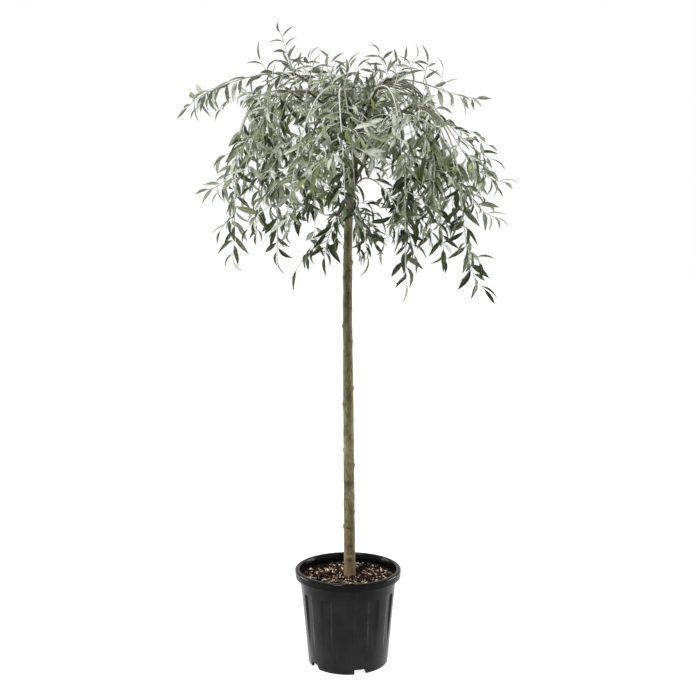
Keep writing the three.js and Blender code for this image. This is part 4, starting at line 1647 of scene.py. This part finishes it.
    def twig_path(self, start: Vector, heading: Vector, length: float, droop: float) -> Path:
        """A twig that droops as it grows.

        Args:
            start: where it leaves its stem.
            heading: the way it sets out.
            length: how long it is.
            droop: how far it turns down at each step.

        Returns:
            Its middle line.
        """
        points, way = [start.copy()], heading.normalized()
        for _ in range(self.twig_points):
            points.append(points[-1] + way * (length / self.twig_points))
            way = (way - UP * droop).normalized()
        return Path.through(points)

    def side_twig(self, shoot: Path, first: float, place: float, hand: int, length: float,
                  stream: Stream) -> Path:
        """A twig that spreads to one side of a stem.

        Args:
            shoot: the stem that carries it.
            first: the share of the stem where its twigs begin.
            place: where among the twigs it is, from 0 to 1.
            hand: the side that it grows to, 1 or -1.
            length: its usual length.
            stream: the seeded row that varies it.

        Returns:
            Its middle line.
        """
        share = lerp(first, self.twigs_to, place)
        along = shoot.way(share)
        side = along.cross(UP).normalized()
        turn = hand * self.twig_spread * stream.between(*self.twig_varies)
        lift = stream.between(*self.twig_lift)
        grown = length * (self.twig_longest - self.twig_shorten * share) * stream.between(*self.twig_varies)
        return self.twig_path(shoot.point(share), along + side * turn + UP * lift, grown, self.twig_droop)

    def crest_twig(self, shoot: Path, crest: Crest) -> Path:
        """The middle line of an upright twig on the arch of a shoot."""
        heading = UP + Vector((crest.lean_x, crest.lean_y, 0.0))
        return self.twig_path(shoot.point(crest.share), heading, crest.length, self.crest_droop)

    def twigs_of(self, path: Path, shoot: Shoot | TrunkShoot, index: int) -> Iterator[Twig]:
        """Grows the twigs of one shoot, then finer ones between and on them.

        Args:
            path: the shoot's middle line.
            shoot: how bushy it is, how far it is bare, and its upright twigs.
            index: the shoot's number, which seeds its growth.

        Yields:
            The twigs.
        """
        stream, finer = Stream.stirred(self.twig_seed + index), Stream.stirred(self.finer_seed + index)
        first = max(self.twigs_from, shoot.bare)

        def sprout(kind: Sprouts, number: int, hand: int, row: Stream) -> Path:
            """One side twig of a round, on every other side."""
            swung = hand if number % 2 else -hand
            return self.side_twig(path, first, kind.place(number, row.next()), swung, kind.length, row)

        grown = [sprout(self.main_twigs, number, 1, stream) for number in range(self.main_twigs.tries)]
        main = [grown[number] for number in self.main_twigs.kept(shoot.bush)]
        outer = self.between_twigs.kept(shoot.bush)
        main += [sprout(self.between_twigs, number, -1, finer) for number in outer]
        for twig in main:
            yield Twig(twig, self.twig_radii, self.habit.length)
            hand = 1 if finer.next() < 0.5 else -1
            place = self.fine_from + self.fine_stray * finer.next()
            fine = self.side_twig(twig, self.twigs_from, place, hand, self.fine_length, finer)
            yield Twig(fine, self.fine_radii, self.habit.length * self.habit.fine_share)
        for crest in shoot.crests:
            yield Twig(self.crest_twig(path, crest), self.twig_radii, self.habit.crest_length, CREST_LEAFING)

    def spurs_of(self, bough: Bough, index: int) -> Iterator[Twig]:
        """Grows the short leafy spurs along the upper part of one bough.

        Args:
            bough: the bough that carries them.
            index: the bough's number, which seeds their growth.

        Yields:
            The spurs.
        """
        path = self.boughs.path(bough)
        stream = Stream.stirred(self.spur_seed + index)
        for i in range(self.spurs):
            share = lerp(*self.spur_span, (i + self.spur_stray * stream.next()) / self.spurs)
            along = path.way(share)
            out = Quaternion(along, i * GOLDEN_ANGLE + stream.next()) @ along.cross(UP).normalized()
            length = self.spur_length * stream.between(*self.spur_varies)
            heading = along * self.spur_forward + out + UP * self.spur_lift
            spur = self.twig_path(path.point(share), heading, length, self.twig_droop)
            yield Twig(spur, self.fine_radii, self.habit.length * self.habit.spur_share)

    def in_sky(self, place: Vector) -> bool:
        """Whether a place is in an opening of the crown, as the front shows it."""
        seen = self.eye + (place - self.eye) * (-self.eye.y / (place.y - self.eye.y))
        return any(place.y < gap.back and gap.covers(seen) for gap in SKY_GAPS)

    def fits(self, *places: Vector) -> bool:
        """Whether places keep to the crown's reach, clear of the limbs and out of its openings."""
        low, high = (np.array(corner) / MM for corner in SOLID_BOX)
        rows = np.array([tuple(place) for place in places])
        if (rows < low - self.over).any() or (rows > high + self.over).any():
            return False
        gaps = np.linalg.norm(rows[:, None, :] - self.limbs[None, :, :], axis=2) - self.limb_radii
        return bool(gaps.min() > self.limb_clear) and not any(self.in_sky(place) for place in places)

    def leaf_at(self, root: Vector, heading: Vector, length: float, leafing: Leafing, stream: Stream) -> Leaf:
        """A leaf that grows from a place on a stem.

        Args:
            root: the place.
            heading: the way the leaf points.
            length: its length.
            leafing: how leaves sit on this kind of stem.
            stream: the seeded row that varies it.

        Returns:
            The leaf.
        """
        habit = self.habit
        along = heading.normalized()
        open_way = UP + Vector((root.x, root.y, 0.0)).normalized() * habit.outward
        level = open_way.cross(along)
        across = level.normalized() if level.length > habit.upright else along.orthogonal().normalized()
        across = Quaternion(along, stream.between(-leafing.roll, leafing.roll)) @ across
        return Leaf(
            root - along * habit.sunk, along, across, along.cross(across), length,
            width=habit.width * stream.between(*habit.widths) * leafing.width,
            curl=stream.between(*habit.curls),
            fold=stream.between(*habit.folds),
            twist=stream.between(*habit.twists),
            sickle=stream.between(*habit.sickles),
        )

    def dress(self, twig: Twig, first: float, stream: Stream) -> None:
        """Sets leaves along a stem, leaning forward and outward and drooping.

        They spiral round a hanging stem, and stand in two ranks on an upright one.

        Args:
            twig: the stem.
            first: where along it the leaves begin.
            stream: the seeded row that varies them.
        """
        path, leafing, habit, sky = twig.path, twig.leafing, self.habit, self.daylight
        count = max(2, round(path.length * (1.0 - first) / (habit.spacing * leafing.spacing)))
        turn = 2.0 * math.pi * stream.next()
        light = sky.openness(path.point(sky.read_at)) + stream.between(*sky.sprays)
        young = stream.next() < sky.young_share
        for i in range(count + 1):
            last = i == count
            share = lerp(first, habit.last_share, (i / count) ** leafing.crowding)
            root, along = path.point(share), path.way(share)
            side, swing = along.cross(UP).normalized(), turn + i * GOLDEN_ANGLE
            if leafing.two_ranked:
                side = along.cross(FRONT).normalized()
                swing = i * math.pi + habit.rank_sway * (turn - math.pi)
            out = Quaternion(along, swing) @ side
            droop = habit.droop * stream.between(*habit.droops) * (habit.level_droop - abs(along.z)) ** 2
            heading = along * stream.between(*habit.forward)
            heading += out * (habit.last_aside if last else stream.between(*habit.aside))
            heading -= UP * (0.0 if leafing.two_ranked or last else droop)
            near_tip = smooth((1.0 - share) * path.length / habit.tip_run)
            length = twig.leaf * stream.between(*habit.lengths) * lerp(leafing.tip_size, 1.0, near_tip)
            length *= 1.0 + habit.low_share * smooth((habit.low_from - root.z) / habit.low_run)
            leaf = self.leaf_at(root, heading, length, leafing, stream)
            for trim in habit.trims:
                leaf.length = length * trim
                if self.fits(leaf.point(0.5), leaf.point(1.0)):
                    # Each leaf's tint is painted light or shade, chosen by how open its spray is to the sky.
                    tint = sky.tint_of(light + stream.between(*sky.leaves), stream)
                    tint = Tint.YOUNG if young and count - i < sky.young_leaves else tint
                    self.leaves[tint].leaves.append(leaf)
                    break

    def grow(self) -> None:
        """Grows every shoot with its twigs and leaves."""
        shoots = [pair for bough in BOUGHS for pair in zip(self.bough_shoots(bough), bough.shoots)]
        shoots += [(self.trunk_shoot(shoot), shoot) for shoot in TRUNK_SHOOTS]
        for index, (path, shoot) in enumerate(shoots):
            stream = Stream.stirred(self.leaf_seed + index)
            ages = self.felted_ages if shoot.bare > self.felted_from else self.shoot_ages
            self.stems.add(path, self.shoot_radii, *self.shoot_mesh, ages)
            self.dress(Twig(path, self.shoot_radii, self.habit.length, SHOOT_LEAFING), shoot.bare, stream)
            for twig in self.twigs_of(path, shoot, index):
                if self.fits(twig.path.point(0.5), twig.path.point(1.0)):
                    self.stems.add(twig.path, twig.radii, *self.twig_mesh, self.twig_ages)
                    self.dress(twig, self.twig_bare, stream)
        for index, bough in enumerate(BOUGHS):
            stream = Stream.stirred(self.spur_leaf_seed + index)
            for twig in self.spurs_of(bough, index):
                self.stems.add(twig.path, twig.radii, *self.twig_mesh, self.spur_ages)
                self.dress(twig, self.spur_bare, stream)

    def build(self) -> None:
        """Grows the crown, and makes and dresses its stems and leaves."""
        self.grow()
        shoots = [*(shoot for bough in BOUGHS for shoot in bough.shoots), *TRUNK_SHOOTS]
        nodes = [f"foliage_{shoot.name}" for shoot in shoots]
        show("young_stems", self.stems.mesh("young_stems"), nodes,
             [StemFinish().material()], crease=60.0)
        pale, shaded_back = PALE_BACK.material(), SHADED_BACK.material()
        for tint, gathered in self.leaves.items():
            name = f"leaves_{tint.value}"
            LOG.info("%s: %d leaves", name, len(gathered.leaves))
            # Shade and olive leaves, inside the crown, take the darker back as painted shade.
            back = shaded_back if tint in (Tint.SHADE, Tint.OLIVE) else pale
            show(name, gathered.mesh(name), nodes, [LEAF_FACES[tint].material(), back], crease=75.0)


@dataclass(frozen=True)
class Lamp:
    """A soft square lamp: where it hangs, the point that it faces, its side and its strength in watts."""

    name: str
    place: Triple
    aim: Triple
    size: float
    watts: float


@dataclass
class Studio:
    """The pale floor, the soft lights and the camera."""

    eye: Vector = field(default_factory=lambda: Vector((0.0, -2.6, 1.097)))
    tilt: float = 5.8
    lens: float = 52.3
    floor_reach: float = 30.0
    fill: float = 0.12
    sky: float = 3.5
    sky_width: float = 16.0
    sky_way: Triple = (0.35, 0.55, -1.0)
    sensor: float = 36.0
    lamps: tuple[Lamp, ...] = (
        Lamp("left_lamp", (-1.9, 0.5, 0.5), (0.0, 0.0, 0.15), 1.0, 34.0),
        Lamp("right_lamp", (1.9, 0.5, 0.5), (0.0, 0.0, 0.15), 1.0, 42.0),
    )

    def floor(self) -> None:
        """Lays the floor."""
        made = bmesh.new()
        bmesh.ops.create_grid(made, x_segments=2, y_segments=2, size=self.floor_reach)
        mesh = bpy.data.meshes.new("floor")
        made.to_mesh(mesh)
        made.free()
        mesh.materials.append(FloorFinish().material())
        plane = put("floor", mesh)
        plane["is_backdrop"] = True

    def hang(self, light: bpy.types.Light, way: Vector, place: Triple = (0.0, 0.0, 0.0)) -> None:
        """Hangs a light.

        Args:
            light: the light.
            way: the direction that it shines in.
            place: where it hangs.
        """
        hung = put(light.name, light)
        hung.location = place
        hung.rotation_euler = way.to_track_quat("-Z", "Y").to_euler()

    def lights(self) -> None:
        """Hangs the broad lamp from above, in front and to the left, and the soft lamps at the sides."""
        sky = bpy.data.lights.new("sky_lamp", "SUN")
        sky.energy = self.sky
        sky.angle = math.radians(self.sky_width)
        self.hang(sky, Vector(self.sky_way))
        for lamp in self.lamps:
            soft = bpy.data.lights.new(lamp.name, "AREA")
            soft.size = lamp.size
            soft.energy = lamp.watts
            self.hang(soft, Vector(lamp.aim) - Vector(lamp.place), lamp.place)

    def build(self) -> None:
        """Sets up the floor, the lights, the white surroundings and the camera."""
        self.floor()
        world = bpy.data.worlds.new("white_studio")
        world.use_nodes = True
        around = ShaderTree(world.node_tree)
        backdrop = world.node_tree.nodes["Background"].inputs
        backdrop["Color"].default_value = (1.0, 1.0, 1.0, 1.0)
        glow = around.level(around.seen_or_mirrored(), to=(self.fill, 1.0))
        world.node_tree.links.new(glow, backdrop["Strength"])
        bpy.context.scene.world = world
        self.lights()
        camera = bpy.data.cameras.new("camera")
        camera.lens = self.lens
        camera.sensor_width = self.sensor
        seen = put("camera", camera)
        seen.location = self.eye
        seen.rotation_euler = (math.radians(90.0 - self.tilt), 0.0, 0.0)
        bpy.context.scene.camera = seen
        bpy.context.scene.view_settings.view_transform = "Standard"


def note_sizes() -> None:
    """Works out the boxes of the solids and of the dressed object as plain lists, which are not kept."""
    boxes = {"cad": SOLID_BOX, "visual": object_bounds()}
    {name: [list(corner) for corner in box] for name, box in boxes.items()}


def main() -> None:
    """Builds the studio, the pot, the compost, the trunk, the boughs and the crown."""
    logging.basicConfig(level=logging.INFO, format="%(message)s")
    Studio().build()
    pot = Pot()
    pot.build()
    Compost(pot).build()
    trunk = Trunk()
    trunk.build()
    boughs = Boughs(trunk)
    boughs.build()
    Crown(trunk, boughs).build()
    note_sizes()


if __name__ == "__main__":
    main()
